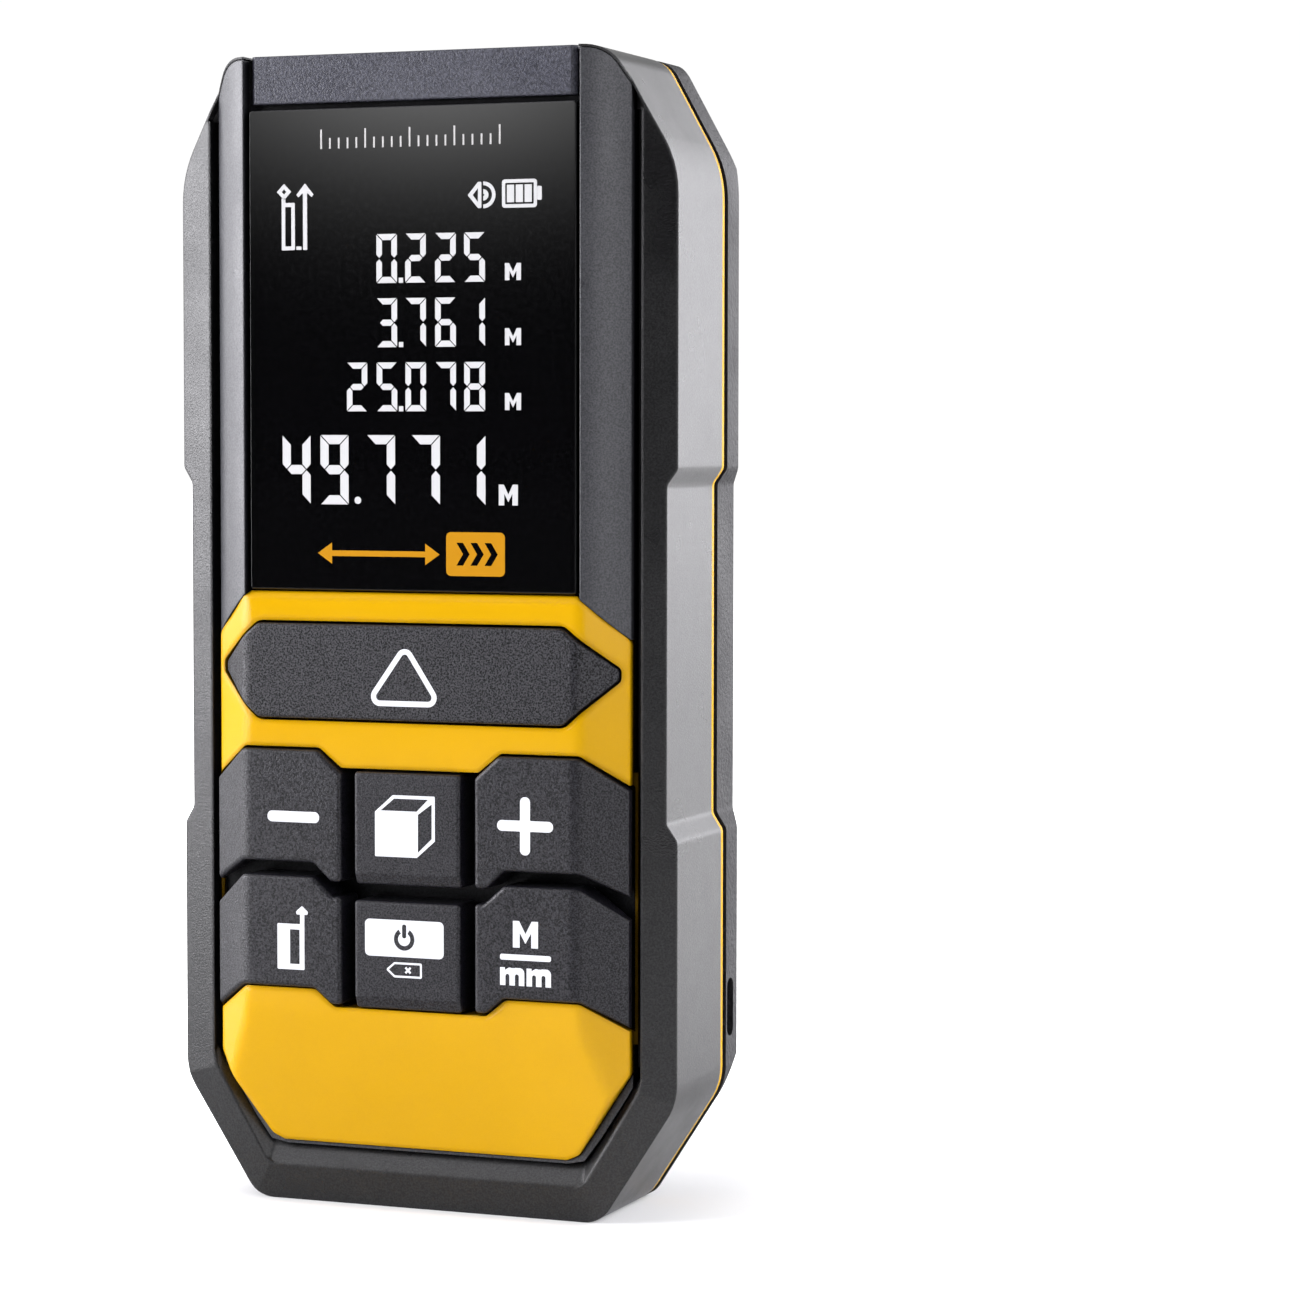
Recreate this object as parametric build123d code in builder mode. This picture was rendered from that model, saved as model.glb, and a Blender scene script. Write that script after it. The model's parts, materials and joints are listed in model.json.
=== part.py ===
from build123d import *
from math import cos, radians, sin, tan
import os

# Handheld laser distance meter, standing on its lower end.
# Millimetres. +Z is up (the beam leaves the +Z end), the display faces -Y, +X is the user's right.
# Origin: centre of the bounding box's bottom face.
# Every "depth" below is measured backwards (+Y) from the flat face of the yellow key panel.

# ---------------------------------------------------------------- driving dimensions
HEIGHT = 115.0            # overall length of the instrument
HALF_W = 26.84            # half width over the two grip zones
HALF_WAIST = 25.80        # half width at the waist
DEPTH_BACK = 27.30        # depth of the back face
DATUM_Y = -13.30          # row-frame y of the key panel's flat face (depth 0)

CHAM_TOP = 29.2           # degrees from vertical, upper corner chamfers
CHAM_LOW = 33.0           # degrees from vertical, lower corner chamfers
RIM_D = 3.06              # depth of the bumper rim's inner ridge
RIM_SLOPE = 0.219         # how fast the rim falls back towards the outside
WALL = 2.0                # housing wall
RIDGE_X = 23.32           # half width of the bumper's mouth
RIM_END_Z = 109.0         # the rim's front face stops here
CHEEK = 0.22              # thickness of the skin that wraps round the rails' upper ends
FLOOR_D = 5.80            # depth of the ledge that carries the front bezel
FRONT_CAVITY_D = 7.40     # depth at which the front shell's cavity starts
SEAM_D = 16.30            # rear edge of the front shell
NECK_D = 16.95            # rear side of the yellow seam ring
REAR_D = 17.80            # the full outline starts again here on the rear shell
BACK_WALL = 2.0

RAIL_IN = 18.10           # display rails, inner edge
RAIL_OUT = 22.31          # display rails, outer edge
GLASS_X, GLASS_LOW, GLASS_TOP, GLASS_D, GLASS_T = 17.62, 62.10, 109.68, 0.40, 1.15
LCD_X, LCD_LOW, LCD_TOP = 16.20, 63.80, 108.40
BAR_LOW, BAR_X, BAR_D = 110.27, 17.50, 0.60
PANEL_TOP, PANEL_BOT, PANEL_X, PANEL_BACK = 61.95, 6.17, 22.25, 4.20
FACET_X = 18.05           # the key panel's side facets start here
FACET_SLOPE = 0.69
PLATE_FRONT, PLATE_SEAT, PLATE_BACK = 3.70, 4.25, 5.70
KEY_D = -0.64             # side keys' face
KEY_MID_D = -0.70         # centre keys' face
KEY_BODY_BACK = 3.35      # back of the key caps
KEY_TRAVEL = 0.60
STEM_END = 6.60
FLANGE_A, FLANGE_B = 5.76, 6.16
MAT_A, MAT_B = 7.00, 7.50
PCB_A, PCB_B = 7.60, 8.80
AAA_R, AAA_L = 5.25, 44.5  # standard AAA cell
CELL_X, CELL_D = 5.55, 20.10
DOOR_X, DOOR_LOW, DOOR_TOP, DOOR_T = 13.80, 13.40, 70.60, 1.70
HINGE_R = DOOR_T / 2
PEG_R, PEG_HOLE_R, PEG_L = 0.45, 0.52, 1.0
SCREWS_TOP, SCREWS_LOW = (19.8, 99.5), (17.5, 9.6)
LENS_X, LASER_X, OPTIC_D = 5.2, -8.6, 15.4

os.makedirs("parts", exist_ok=True)


def y(depth):
    """Row-frame y of a depth behind the key panel's face."""
    return DATUM_Y + depth


def front(depth):
    """Sketch plane looking at the front, at a depth: sketch x is X, sketch y is Z."""
    return Plane(origin=(0, y(depth), 0), x_dir=(1, 0, 0), z_dir=(0, -1, 0))


def both(points):
    """A right-hand half outline, bottom to top, closed with its mirror image."""
    return list(points) + [(-px, pz) for px, pz in reversed(points)]


def outline(points, rounds=(), grow=0.0):
    """Closed symmetrical outline in the front view with rounded corners (x, z, radius)."""
    with BuildSketch() as s:
        with BuildLine():
            Polyline(*both(points), close=True)
        make_face()
        for px, pz, r in rounds:
            picked = [v for v in s.vertices() if abs(abs(v.X) - px) < 0.03 and abs(v.Y - pz) < 0.03]
            fillet(picked, radius=r)
        if grow:
            offset(amount=grow, kind=Kind.INTERSECTION)
    return s.sketch


def one_side(points, rounds=()):
    """Closed outline on one side only."""
    with BuildSketch() as s:
        with BuildLine():
            Polyline(*points, close=True)
        make_face()
        for px, pz, r in rounds:
            picked = [v for v in s.vertices() if abs(v.X - px) < 0.03 and abs(v.Y - pz) < 0.03]
            fillet(picked, radius=r)
    return s.sketch


def slope(px, pz, nx, nz, depth, rate):
    """Plane through (px, depth, pz) that falls back at rate along the outward direction (nx, nz); faces forwards."""
    return Plane(origin=(px, y(depth), pz), z_dir=(rate * nx, -1, rate * nz))


def back_slope(px, pz, nx, nz, depth, rate):
    """The same for the back: faces backwards and comes forward towards the outside."""
    return Plane(origin=(px, y(depth), pz), z_dir=(rate * nx, 1, rate * nz))


# ---------------------------------------------------------------- outlines, right-hand halves
def top_chamfer_x(z, inset=0.0):
    return 27.0 - inset / cos(radians(CHAM_TOP)) - (z - 103.45) * tan(radians(CHAM_TOP))


def top_chamfer_z(x, inset=0.0):
    return 103.45 + (27.0 - inset / cos(radians(CHAM_TOP)) - x) / tan(radians(CHAM_TOP))


def low_chamfer_z(x, inset=0.0):
    return 4.07 + (x - 21.45 + inset / cos(radians(CHAM_LOW))) / tan(radians(CHAM_LOW))


def low_chamfer_x(z, inset=0.0):
    return 21.45 - inset / cos(radians(CHAM_LOW)) + (z - 4.07) * tan(radians(CHAM_LOW))


def housing(inset=0.0):
    """The bumper outline: grips, waist and corner chamfers."""
    low, top, side, waist = inset, HEIGHT - inset, HALF_W - inset, HALF_WAIST - inset
    k = inset * 0.42
    pts = [
        (low_chamfer_x(low, inset), low),
        (side, low_chamfer_z(side, inset)),
        (side, 38.1 - k),
        (waist, 39.7 - k),
        (waist, 72.7 + k),
        (side, 74.2 + k),
        (side, top_chamfer_z(side, inset)),
        (top_chamfer_x(top, inset), top),
    ]
    rounds = [
        (pts[0][0], low, max(3.3 - inset, 0.6)),
        (side, pts[1][1], max(6.0 - inset, 1.0)),
        (side, pts[2][1], 1.0),
        (waist, pts[3][1], 1.0),
        (waist, pts[4][1], 1.0),
        (side, pts[5][1], 1.0),
        (side, pts[6][1], max(11.0 - inset, 1.0)),
        (pts[7][0], top, max(3.2 - inset, 0.6)),
    ]
    return outline(pts, rounds)


MOUTH_TOP = (top_chamfer_x(HEIGHT - CHEEK, CHEEK), HEIGHT - CHEEK)
MOUTH = [
    (15.4, 5.64), (17.22, 5.99), (19.02, 8.38), (21.82, 12.68), (22.44, 13.75), (RIDGE_X, 15.3), (RIDGE_X, RIM_END_Z),
    (top_chamfer_x(RIM_END_Z, CHEEK), RIM_END_Z), MOUTH_TOP,
]
MOUTH_ROUNDS = [(MOUTH_TOP[0], MOUTH_TOP[1], 3.2 - CHEEK)]
# upper edge of the bevel that runs round the lower end of the key panel
BEVEL = [(16.4, 3.62), (17.55, 4.25), (22.96, 13.3), (RIDGE_X, 14.6), (RIDGE_X, 16.6)]
BEVEL_ROUNDS = [(22.96, 13.3, 1.2)]

BEZEL_TOP = (top_chamfer_x(HEIGHT - CHEEK - 0.08, CHEEK + 0.08), HEIGHT - CHEEK - 0.08)
BEZEL = [(15.4, 5.76), (17.15, 6.10), (18.91, 8.44), (21.71, 12.74), (RAIL_OUT, 13.80),
         (RAIL_OUT, top_chamfer_z(RAIL_OUT, CHEEK + 0.08)), BEZEL_TOP]
BEZEL_ROUNDS = [(BEZEL_TOP[0], BEZEL_TOP[1], 3.12 - CHEEK)]

PANEL = [(15.5, PANEL_BOT), (16.75, 6.75), (18.2, 8.9), (21.0, 13.2), (PANEL_X, 15.05), (PANEL_X, 57.62), (18.05, 61.58),
         (17.6, PANEL_TOP)]
PANEL_ROUNDS = [(16.75, 6.75, 1.2), (PANEL_X, 15.05, 0.8), (PANEL_X, 57.62, 1.0), (15.5, PANEL_BOT, 0.8)]

KEYHOLE = [(8.24, 20.5), (10.32, 22.2), (18.1, 22.2), (22.48, 19.25), (22.48, 43.30), (18.1, 46.45), (9.85, 46.45), (7.45, 44.5)]
BIG_KEY = [(16.45, 49.34), (21.30, 53.75), (21.30, 54.75), (16.45, 58.80)]
BIG_ROUNDS = [(16.45, 49.34, 1.2), (21.30, 53.75, 0.45), (21.30, 54.75, 0.45), (16.45, 58.80, 1.2)]
PLUS = [(7.22, 33.12), (8.45, 33.12), (10.35, 34.95), (18.1, 34.95), (22.32, 32.50), (22.32, 43.00), (18.1, 46.20),
        (9.80, 46.20), (7.22, 43.95)]
PLUS_ROUNDS = [(8.45, 33.12, 0.8), (10.35, 34.95, 0.8), (18.1, 46.20, 1.2), (9.80, 46.20, 0.8), (18.1, 34.95, 1.2), (7.22, 43.95, 0.5)]
UNIT = [(7.22, 20.85), (8.35, 20.85), (10.25, 22.40), (18.1, 22.40), (22.32, 19.70), (22.32, 30.35), (18.1, 33.55),
        (10.35, 33.55), (8.20, 31.65), (7.22, 31.65)]
UNIT_ROUNDS = [(8.35, 20.85, 0.8), (10.25, 22.40, 0.8), (18.1, 33.55, 1.2), (10.35, 33.55, 0.8), (8.20, 31.65, 0.6), (18.1, 22.40, 1.2)]

# stems of the seven keys: centre x, centre z, half length, half height
STEMS = {
    "measure": (0.0, 54.2, 4.0, 1.5),
    "minus": (-13.5, 40.3, 1.8, 1.5),
    "function": (0.0, 38.6, 1.8, 1.5),
    "plus": (13.5, 40.3, 1.8, 1.5),
    "reference": (-13.5, 28.0, 1.8, 1.5),
    "clear": (0.0, 26.0, 1.8, 1.5),
    "unit": (13.5, 28.0, 1.8, 1.5),
}

# ================================================================ front shell (grey bumper)
with BuildPart() as front_cavity:
    # the hollow of the front shell with its four screw bosses and four board posts left standing
    with BuildSketch(front(FRONT_CAVITY_D)):
        add(housing(WALL))
    extrude(amount=-(SEAM_D - FRONT_CAVITY_D + 1))
    with BuildSketch(front(FRONT_CAVITY_D)):
        for sx in (-1, 1):
            with Locations((sx * SCREWS_TOP[0], SCREWS_TOP[1]), (sx * SCREWS_LOW[0], SCREWS_LOW[1])):
                Circle(2.5)
    extrude(amount=-(SEAM_D - FRONT_CAVITY_D + 1), mode=Mode.SUBTRACT)

with BuildPart() as lower_bevel:
    # what the bevel round the key panel's lower end takes away from the bumper
    with BuildSketch(front(RIM_D - 1)):
        add(outline(BEVEL, BEVEL_ROUNDS))
    extrude(amount=-2.6)
    split(bisect_by=slope(0, 3.62, 0, 1, RIM_D, 0.62), keep=Keep.TOP)
    for sx in (-1, 1):
        split(bisect_by=slope(sx * 17.55, 4.25, -sx * cos(radians(30.9)), sin(radians(30.9)), RIM_D, 1.05), keep=Keep.TOP)

with BuildPart() as front_housing:
    with BuildSketch(front(RIM_D)):
        add(housing())
    extrude(amount=-(SEAM_D - RIM_D))
    # the rim falls back towards the outside on the long sides, the lower chamfers and the bottom
    for sx in (-1, 1):
        split(bisect_by=slope(sx * RIDGE_X, 60, sx, 0, RIM_D, RIM_SLOPE), keep=Keep.BOTTOM)
        split(bisect_by=slope(sx * 18.0, 5.0, sx * cos(radians(CHAM_LOW)), -sin(radians(CHAM_LOW)), RIM_D, RIM_SLOPE),
              keep=Keep.BOTTOM)
    split(bisect_by=slope(0, 3.62, 0, -1, RIM_D, RIM_SLOPE), keep=Keep.BOTTOM)
    # thin cheeks that wrap forward round the rails' upper ends
    with BuildSketch(front(RIM_D + 0.5)):
        add(housing())
        add(housing(CHEEK), mode=Mode.SUBTRACT)
        with Locations((0, 50)):
            Rectangle(80, 2 * (111.2 - 50), mode=Mode.SUBTRACT)
        with Locations((0, 115)):
            Rectangle(2 * (RAIL_IN - 0.12), 12, mode=Mode.SUBTRACT)
    extrude(amount=RIM_D + 0.5 - 0.05)
    # their front edges follow the rails' bevel
    for sx in (-1, 1):
        with BuildSketch(Plane.XY.offset(109.2)):
            with BuildLine():
                Polyline((sx * 30, y(RIM_D - 0.005)), (sx * 30, y(-3)), (sx * (RAIL_IN - 1), y(-3)),
                         (sx * (RAIL_IN - 1), y(0.03)), (sx * RAIL_IN, y(0.03)))
                ThreePointArc((sx * RAIL_IN, y(0.03)), (sx * 20.35, y(1.32)), (sx * RAIL_OUT, y(RIM_D - 0.02)))
                Line((sx * RAIL_OUT, y(RIM_D - 0.02)), (sx * 30, y(RIM_D - 0.005)))
            make_face()
        extrude(amount=8, mode=Mode.SUBTRACT)
    # mouth that takes the front bezel
    with BuildSketch(front(-2)):
        add(outline(MOUTH, MOUTH_ROUNDS))
    extrude(amount=-(FLOOR_D + 2), mode=Mode.SUBTRACT)
    # closed corners of the groove above the rim's end
    with BuildSketch(front(4.2)):
        for sx in (-1, 1):
            with BuildLine():
                Polyline((sx * 22.42, RIM_END_Z - 0.01), (sx * 23.62, RIM_END_Z - 0.01), (sx * 22.42, 111.1), close=True)
            make_face()
    extrude(amount=-(FLOOR_D - 4.2 + 0.1))
    # bevel round the lower end of the key panel
    add(lower_bevel.part, mode=Mode.SUBTRACT)
    # window through the ledge
    with BuildSketch(front(FLOOR_D - 0.5)):
        with BuildLine():
            Polyline(*both([(14.6, 8.4), (19.9, 15.0), (19.9, 109.0), (17.0, 112.4)]), close=True)
        make_face()
    extrude(amount=-(FRONT_CAVITY_D - FLOOR_D + 1), mode=Mode.SUBTRACT)
    add(front_cavity.part, mode=Mode.SUBTRACT)
    # four posts for the main board, standing on the ledge's corners
    with BuildSketch(front(FRONT_CAVITY_D - 0.2)):
        for sx in (-1, 1):
            with Locations((sx * 21.2, 84.0), (sx * 21.2, 22.0)):
                Circle(2.1)
    extrude(amount=-(PCB_A - 0.05 - FRONT_CAVITY_D + 0.2))
    with BuildSketch(front(PCB_B + 4)):
        for sx in (-1, 1):
            with Locations((sx * 21.2, 84.0), (sx * 21.2, 22.0)):
                Circle(0.85)
    extrude(amount=PCB_B + 4 - 6.2, mode=Mode.SUBTRACT)
    # pilot holes in the bosses
    with BuildSketch(front(SEAM_D + 0.5)):
        for sx in (-1, 1):
            with Locations((sx * SCREWS_TOP[0], SCREWS_TOP[1]), (sx * SCREWS_LOW[0], SCREWS_LOW[1])):
                Circle(1.0)
    extrude(amount=SEAM_D + 0.5 - 9.0, mode=Mode.SUBTRACT)
    # half of the optics opening in the top wall
    with BuildSketch(Plane.XY.offset(HEIGHT + 1)):
        with Locations((0, y((7.6 + 24.0) / 2))):
            Rectangle(29.0, 24.0 - 7.6)
    extrude(amount=-6, mode=Mode.SUBTRACT)
    # soft outer edges
    fillet(front_housing.edges().filter_by(lambda e: abs(e.center().Y - y(SEAM_D)) < 0.01 and e.length > 8
           and (abs(abs(e.center().X) - HALF_W) < 0.02 or abs(abs(e.center().X) - HALF_WAIST) < 0.02)), radius=0.15)
front_housing.part.label = "front_housing"
export_step(front_housing.part, "parts/front_housing.step")

# ================================================================ rear shell (textured, dark)
BACK_RATE = 1.5
LOW_RATE = 2.1             # the lower corners lean in from just behind the seam
with BuildPart() as rear_cavity:
    with BuildSketch(front(NECK_D - 1)):
        add(housing(WALL))
    extrude(amount=-(DEPTH_BACK - BACK_WALL - NECK_D + 1))
    for sx in (-1, 1):
        split(bisect_by=back_slope(sx * (HALF_W - 2.4), 60, sx, 0, 20.4, BACK_RATE), keep=Keep.BOTTOM)
        split(bisect_by=back_slope(sx * (22.45 - 2.1), 111.6 - 1.2, sx * cos(radians(CHAM_TOP)), sin(radians(CHAM_TOP)), 20.8, BACK_RATE),
              keep=Keep.BOTTOM)
        split(bisect_by=back_slope(sx * (21.45 - 2.0), 4.07 + 1.3, sx * cos(radians(CHAM_LOW)), -sin(radians(CHAM_LOW)), REAR_D - 0.4, LOW_RATE),
              keep=Keep.BOTTOM)
    split(bisect_by=back_slope(0, 2.4, 0, -1, 21.8, BACK_RATE), keep=Keep.BOTTOM)
    split(bisect_by=back_slope(0, HEIGHT - 2.4, 0, 1, 24.0, BACK_RATE), keep=Keep.BOTTOM)
    # material left standing: screw bosses, the strap-bar block, and the battery bay
    with BuildSketch(front(NECK_D)):
        for sx in (-1, 1):
            with Locations((sx * SCREWS_TOP[0], SCREWS_TOP[1]), (sx * SCREWS_LOW[0], SCREWS_LOW[1])):
                Circle(2.7)
        with Locations((24.0, 20.0)):
            Rectangle(7.6, 12.0)
        with Locations((0, 42.6)):
            Rectangle(2 * 12.7, 56.4)
    extrude(amount=-14, mode=Mode.SUBTRACT)

with BuildPart() as rear_housing:
    with BuildSketch(front(REAR_D)):
        add(housing())
    extrude(amount=-(DEPTH_BACK - REAR_D))
    for sx in (-1, 1):
        split(bisect_by=back_slope(sx * HALF_W, 60, sx, 0, 21.0, BACK_RATE), keep=Keep.BOTTOM)
        split(bisect_by=back_slope(sx * 22.45, 111.6, sx * cos(radians(CHAM_TOP)), sin(radians(CHAM_TOP)), 21.5, BACK_RATE),
              keep=Keep.BOTTOM)
        split(bisect_by=back_slope(sx * 21.45, 4.07, sx * cos(radians(CHAM_LOW)), -sin(radians(CHAM_LOW)), REAR_D + 0.3, LOW_RATE),
              keep=Keep.BOTTOM)
    split(bisect_by=back_slope(0, 0, 0, -1, 22.5, BACK_RATE), keep=Keep.BOTTOM)
    split(bisect_by=back_slope(0, HEIGHT, 0, 1, 24.8, BACK_RATE), keep=Keep.BOTTOM)
    # soften the back's rim
    back_rim = rear_housing.faces().sort_by(Axis.Y)[-1].edges()
    fillet(back_rim, radius=1.6)
    # neck that plugs up to the seam ring
    with BuildSketch(front(NECK_D)):
        add(housing(0.75))
    extrude(amount=-(REAR_D + 0.3 - NECK_D))
    add(rear_cavity.part, mode=Mode.SUBTRACT)
    # battery bay box reaching forward into the front shell
    with BuildSketch(front(13.4)):
        with Locations((0, 42.6)):
            Rectangle(2 * 12.7, 56.4)
    extrude(amount=-(DEPTH_BACK - 1.2 - 13.4))
    with BuildSketch(front(14.6)):
        with Locations((0, 42.6)):
            Rectangle(2 * 11.3, 53.6)
    extrude(amount=-20, mode=Mode.SUBTRACT)
    # recess and ledge for the battery door
    with BuildSketch(front(DEPTH_BACK - DOOR_T - 0.08)):
        with Locations((0, (DOOR_LOW + DOOR_TOP) / 2)):
            Rectangle(2 * (DOOR_X + 0.2), DOOR_TOP - DOOR_LOW + 0.5)
    extrude(amount=-5, mode=Mode.SUBTRACT)
    # blind holes for the door's hinge pegs
    for sx in (-1, 1):
        with BuildSketch(Plane(origin=(sx * DOOR_X, y(DEPTH_BACK - HINGE_R), DOOR_LOW + HINGE_R), x_dir=(0, 1, 0), z_dir=(sx, 0, 0))):
            Circle(PEG_HOLE_R)
        extrude(amount=0.2 + PEG_L + 0.15, mode=Mode.SUBTRACT)
    # thumb notch above the door
    with BuildSketch(front(DEPTH_BACK - 0.9)):
        with Locations((0, DOOR_TOP + 0.2)):
            SlotOverall(12.0, 6.4)
    extrude(amount=-3, mode=Mode.SUBTRACT)
    # screw passages with recessed heads
    with BuildSketch(front(NECK_D - 1)):
        for sx in (-1, 1):
            with Locations((sx * SCREWS_TOP[0], SCREWS_TOP[1]), (sx * SCREWS_LOW[0], SCREWS_LOW[1])):
                Circle(1.15)
    extrude(amount=-14, mode=Mode.SUBTRACT)
    with BuildSketch(front(DEPTH_BACK - 1.9)):
        for sx in (-1, 1):
            with Locations((sx * SCREWS_TOP[0], SCREWS_TOP[1]), (sx * SCREWS_LOW[0], SCREWS_LOW[1])):
                Circle(2.15)
    extrude(amount=-4, mode=Mode.SUBTRACT)
    # strap eyelet: a slot in the right side and one in the back bevel, joined behind a bar
    with BuildSketch(Plane(origin=(HALF_W + 1, y(19.0), 19.85), x_dir=(0, 0, 1), z_dir=(1, 0, 0))):
        SlotOverall(5.9, 1.8)
    extrude(amount=-(1 + 5.2), mode=Mode.SUBTRACT)
    with BuildSketch(front(18.1)):
        with Locations((22.5, 19.85)):
            SlotOverall(5.9, 1.8, rotation=90)
    extrude(amount=-12, mode=Mode.SUBTRACT)
    # half of the optics opening in the top wall
    with BuildSketch(Plane.XY.offset(HEIGHT + 1)):
        with Locations((0, y((7.6 + 24.0) / 2))):
            Rectangle(29.0, 24.0 - 7.6)
    extrude(amount=-6, mode=Mode.SUBTRACT)
rear_housing.part.label = "rear_housing"
export_step(rear_housing.part, "parts/rear_housing.step")

# ================================================================ yellow ring in the seam
with BuildPart() as seam_ring:
    with BuildSketch(front(SEAM_D + 0.02)):
        add(housing(0.06))
        add(housing(1.7), mode=Mode.SUBTRACT)
        with Locations((0, HEIGHT)):
            Rectangle(29.4, 6, mode=Mode.SUBTRACT)
    extrude(amount=-(NECK_D - SEAM_D - 0.04))
seam_ring.part.label = "seam_ring"
export_step(seam_ring.part, "parts/seam_ring.step")

# ================================================================ front bezel: rails, display seat, key deck
with BuildPart() as front_bezel:
    with BuildSketch(front(PLATE_FRONT)):
        add(outline(BEZEL, BEZEL_ROUNDS))
    extrude(amount=-(PLATE_BACK - PLATE_FRONT))
    for sx in (-1, 1):
        with BuildSketch(Plane.XY.offset(57.0)):
            with BuildLine():
                ThreePointArc((sx * RAIL_IN, y(0.11)), (sx * 20.35, y(1.38)), (sx * RAIL_OUT, y(3.08)))
                Polyline((sx * RAIL_OUT, y(3.08)), (sx * RAIL_OUT, y(4.5)), (sx * 16.5, y(4.5)), (sx * 16.5, y(GLASS_D + GLASS_T + 0.03)),
                         (sx * RAIL_IN, y(GLASS_D + GLASS_T + 0.03)), (sx * RAIL_IN, y(0.11)))
            make_face()
        extrude(amount=HEIGHT - 57.0)
    # crossbars above and below the display opening
    with BuildSketch(front(GLASS_D + GLASS_T + 0.03)):
        with Locations((0, (LCD_TOP + 0.2 + 112.0) / 2)):
            Rectangle(36.0, 112.0 - LCD_TOP - 0.2)
        with Locations((0, (62.05 + LCD_LOW - 0.2) / 2)):
            Rectangle(36.0, LCD_LOW - 0.2 - 62.05)
    extrude(amount=-(PLATE_BACK - GLASS_D - GLASS_T - 0.03))
    with BuildSketch(front(3.2)):
        with Locations((0, 113.2)):
            Rectangle(36.0, 2.6)
    extrude(amount=-2.0)
    # trim to the outline
    with BuildSketch(front(-2)):
        add(outline(BEZEL, BEZEL_ROUNDS))
    extrude(amount=-9, mode=Mode.INTERSECT)
    # pocket for the key panel
    with BuildSketch(front(-2)):
        add(outline(PANEL, (), grow=0.08))
    extrude(amount=-(PLATE_SEAT + 2), mode=Mode.SUBTRACT)
    # display opening
    with BuildSketch(front(0)):
        with Locations((0, (LCD_LOW + LCD_TOP) / 2)):
            Rectangle(2 * (LCD_X + 0.15), LCD_TOP - LCD_LOW + 0.3)
    extrude(amount=-8, mode=Mode.SUBTRACT)
    # holes for the keys' stems
    with BuildSketch(front(2)):
        for cx, cz, hx, hz in STEMS.values():
            with Locations((cx, cz)):
                Rectangle(2 * hx + 0.5, 2 * hz + 0.5)
    extrude(amount=-6, mode=Mode.SUBTRACT)
front_bezel.part.label = "front_bezel"
export_step(front_bezel.part, "parts/front_bezel.step")

# ================================================================ black sealing cord in the groove round the bezel
with BuildPart() as groove_seal:
    with BuildSketch(front(4.9)):
        add(outline(MOUTH, (), grow=-0.06))
        add(outline(BEZEL, (), grow=0.06), mode=Mode.SUBTRACT)
        with Locations((0, 3)):
            Rectangle(60, 25.2, mode=Mode.SUBTRACT)
        with Locations((0, RIM_END_Z + 4.95)):
            Rectangle(60, 10, mode=Mode.SUBTRACT)
    extrude(amount=-(FLOOR_D - 4.95))
groove_seal.part.label = "groove_seal"
export_step(groove_seal.part, "parts/groove_seal.step")

# ================================================================ top bar, glass, display stack
with BuildPart() as top_bar:
    with BuildSketch(front(BAR_D)):
        with Locations((0, (BAR_LOW + HEIGHT) / 2)):
            Rectangle(2 * BAR_X, HEIGHT - BAR_LOW)
    extrude(amount=-(1.5 - BAR_D))
    chamfer(top_bar.faces().sort_by(Axis.Y)[0].edges().filter_by(Axis.Z), length=0.5)
    chamfer(top_bar.faces().sort_by(Axis.Y)[0].edges().filter_by(Axis.X), length=0.12)
    # the bar turns back over the top end as far as the front shell
    with BuildSketch(front(1.4)):
        with Locations((0, HEIGHT - CHEEK / 2)):
            Rectangle(2 * BAR_X, CHEEK)
    extrude(amount=-(RIM_D - 0.06 - 1.4))
top_bar.part.label = "top_bar"
export_step(top_bar.part, "parts/top_bar.step")

with BuildPart() as display_window:
    with BuildSketch(front(GLASS_D)):
        with Locations((0, (GLASS_LOW + GLASS_TOP) / 2)):
            RectangleRounded(2 * GLASS_X, GLASS_TOP - GLASS_LOW, 0.3)
    extrude(amount=-GLASS_T)
    chamfer(display_window.faces().sort_by(Axis.Y)[0].edges(), length=0.12)
display_window.part.label = "display_window"
export_step(display_window.part, "parts/display_window.step")

with BuildPart() as lcd_panel:
    with BuildSketch(front(1.75)):
        with Locations((0, (LCD_LOW + LCD_TOP) / 2)):
            Rectangle(2 * LCD_X, LCD_TOP - LCD_LOW)
    extrude(amount=-1.1)
    with BuildSketch(front(2.87)):
        with Locations((0, (LCD_LOW + LCD_TOP) / 2 + 1.4)):
            Rectangle(2 * LCD_X, LCD_TOP - LCD_LOW - 2.8)
    extrude(amount=-0.9)
lcd_panel.part.label = "lcd_panel"
export_step(lcd_panel.part, "parts/lcd_panel.step")

with BuildPart() as lcd_backlight:
    with BuildSketch(front(3.85)):
        with Locations((0, (LCD_LOW + LCD_TOP) / 2)):
            Rectangle(2 * LCD_X - 0.4, LCD_TOP - LCD_LOW - 0.6)
    extrude(amount=-2.0)
    fillet(lcd_backlight.edges().filter_by(Axis.Y), radius=0.5)
lcd_backlight.part.label = "lcd_backlight"
export_step(lcd_backlight.part, "parts/lcd_backlight.step")

with BuildPart() as lcd_holder:
    with BuildSketch(front(5.92)):
        with Locations((0, (LCD_LOW + LCD_TOP) / 2)):
            RectangleRounded(34.0, 46.0, 1.0)
            Rectangle(26.0, 34.0, mode=Mode.SUBTRACT)
    extrude(amount=-1.55)
lcd_holder.part.label = "lcd_holder"
export_step(lcd_holder.part, "parts/lcd_holder.step")

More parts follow.
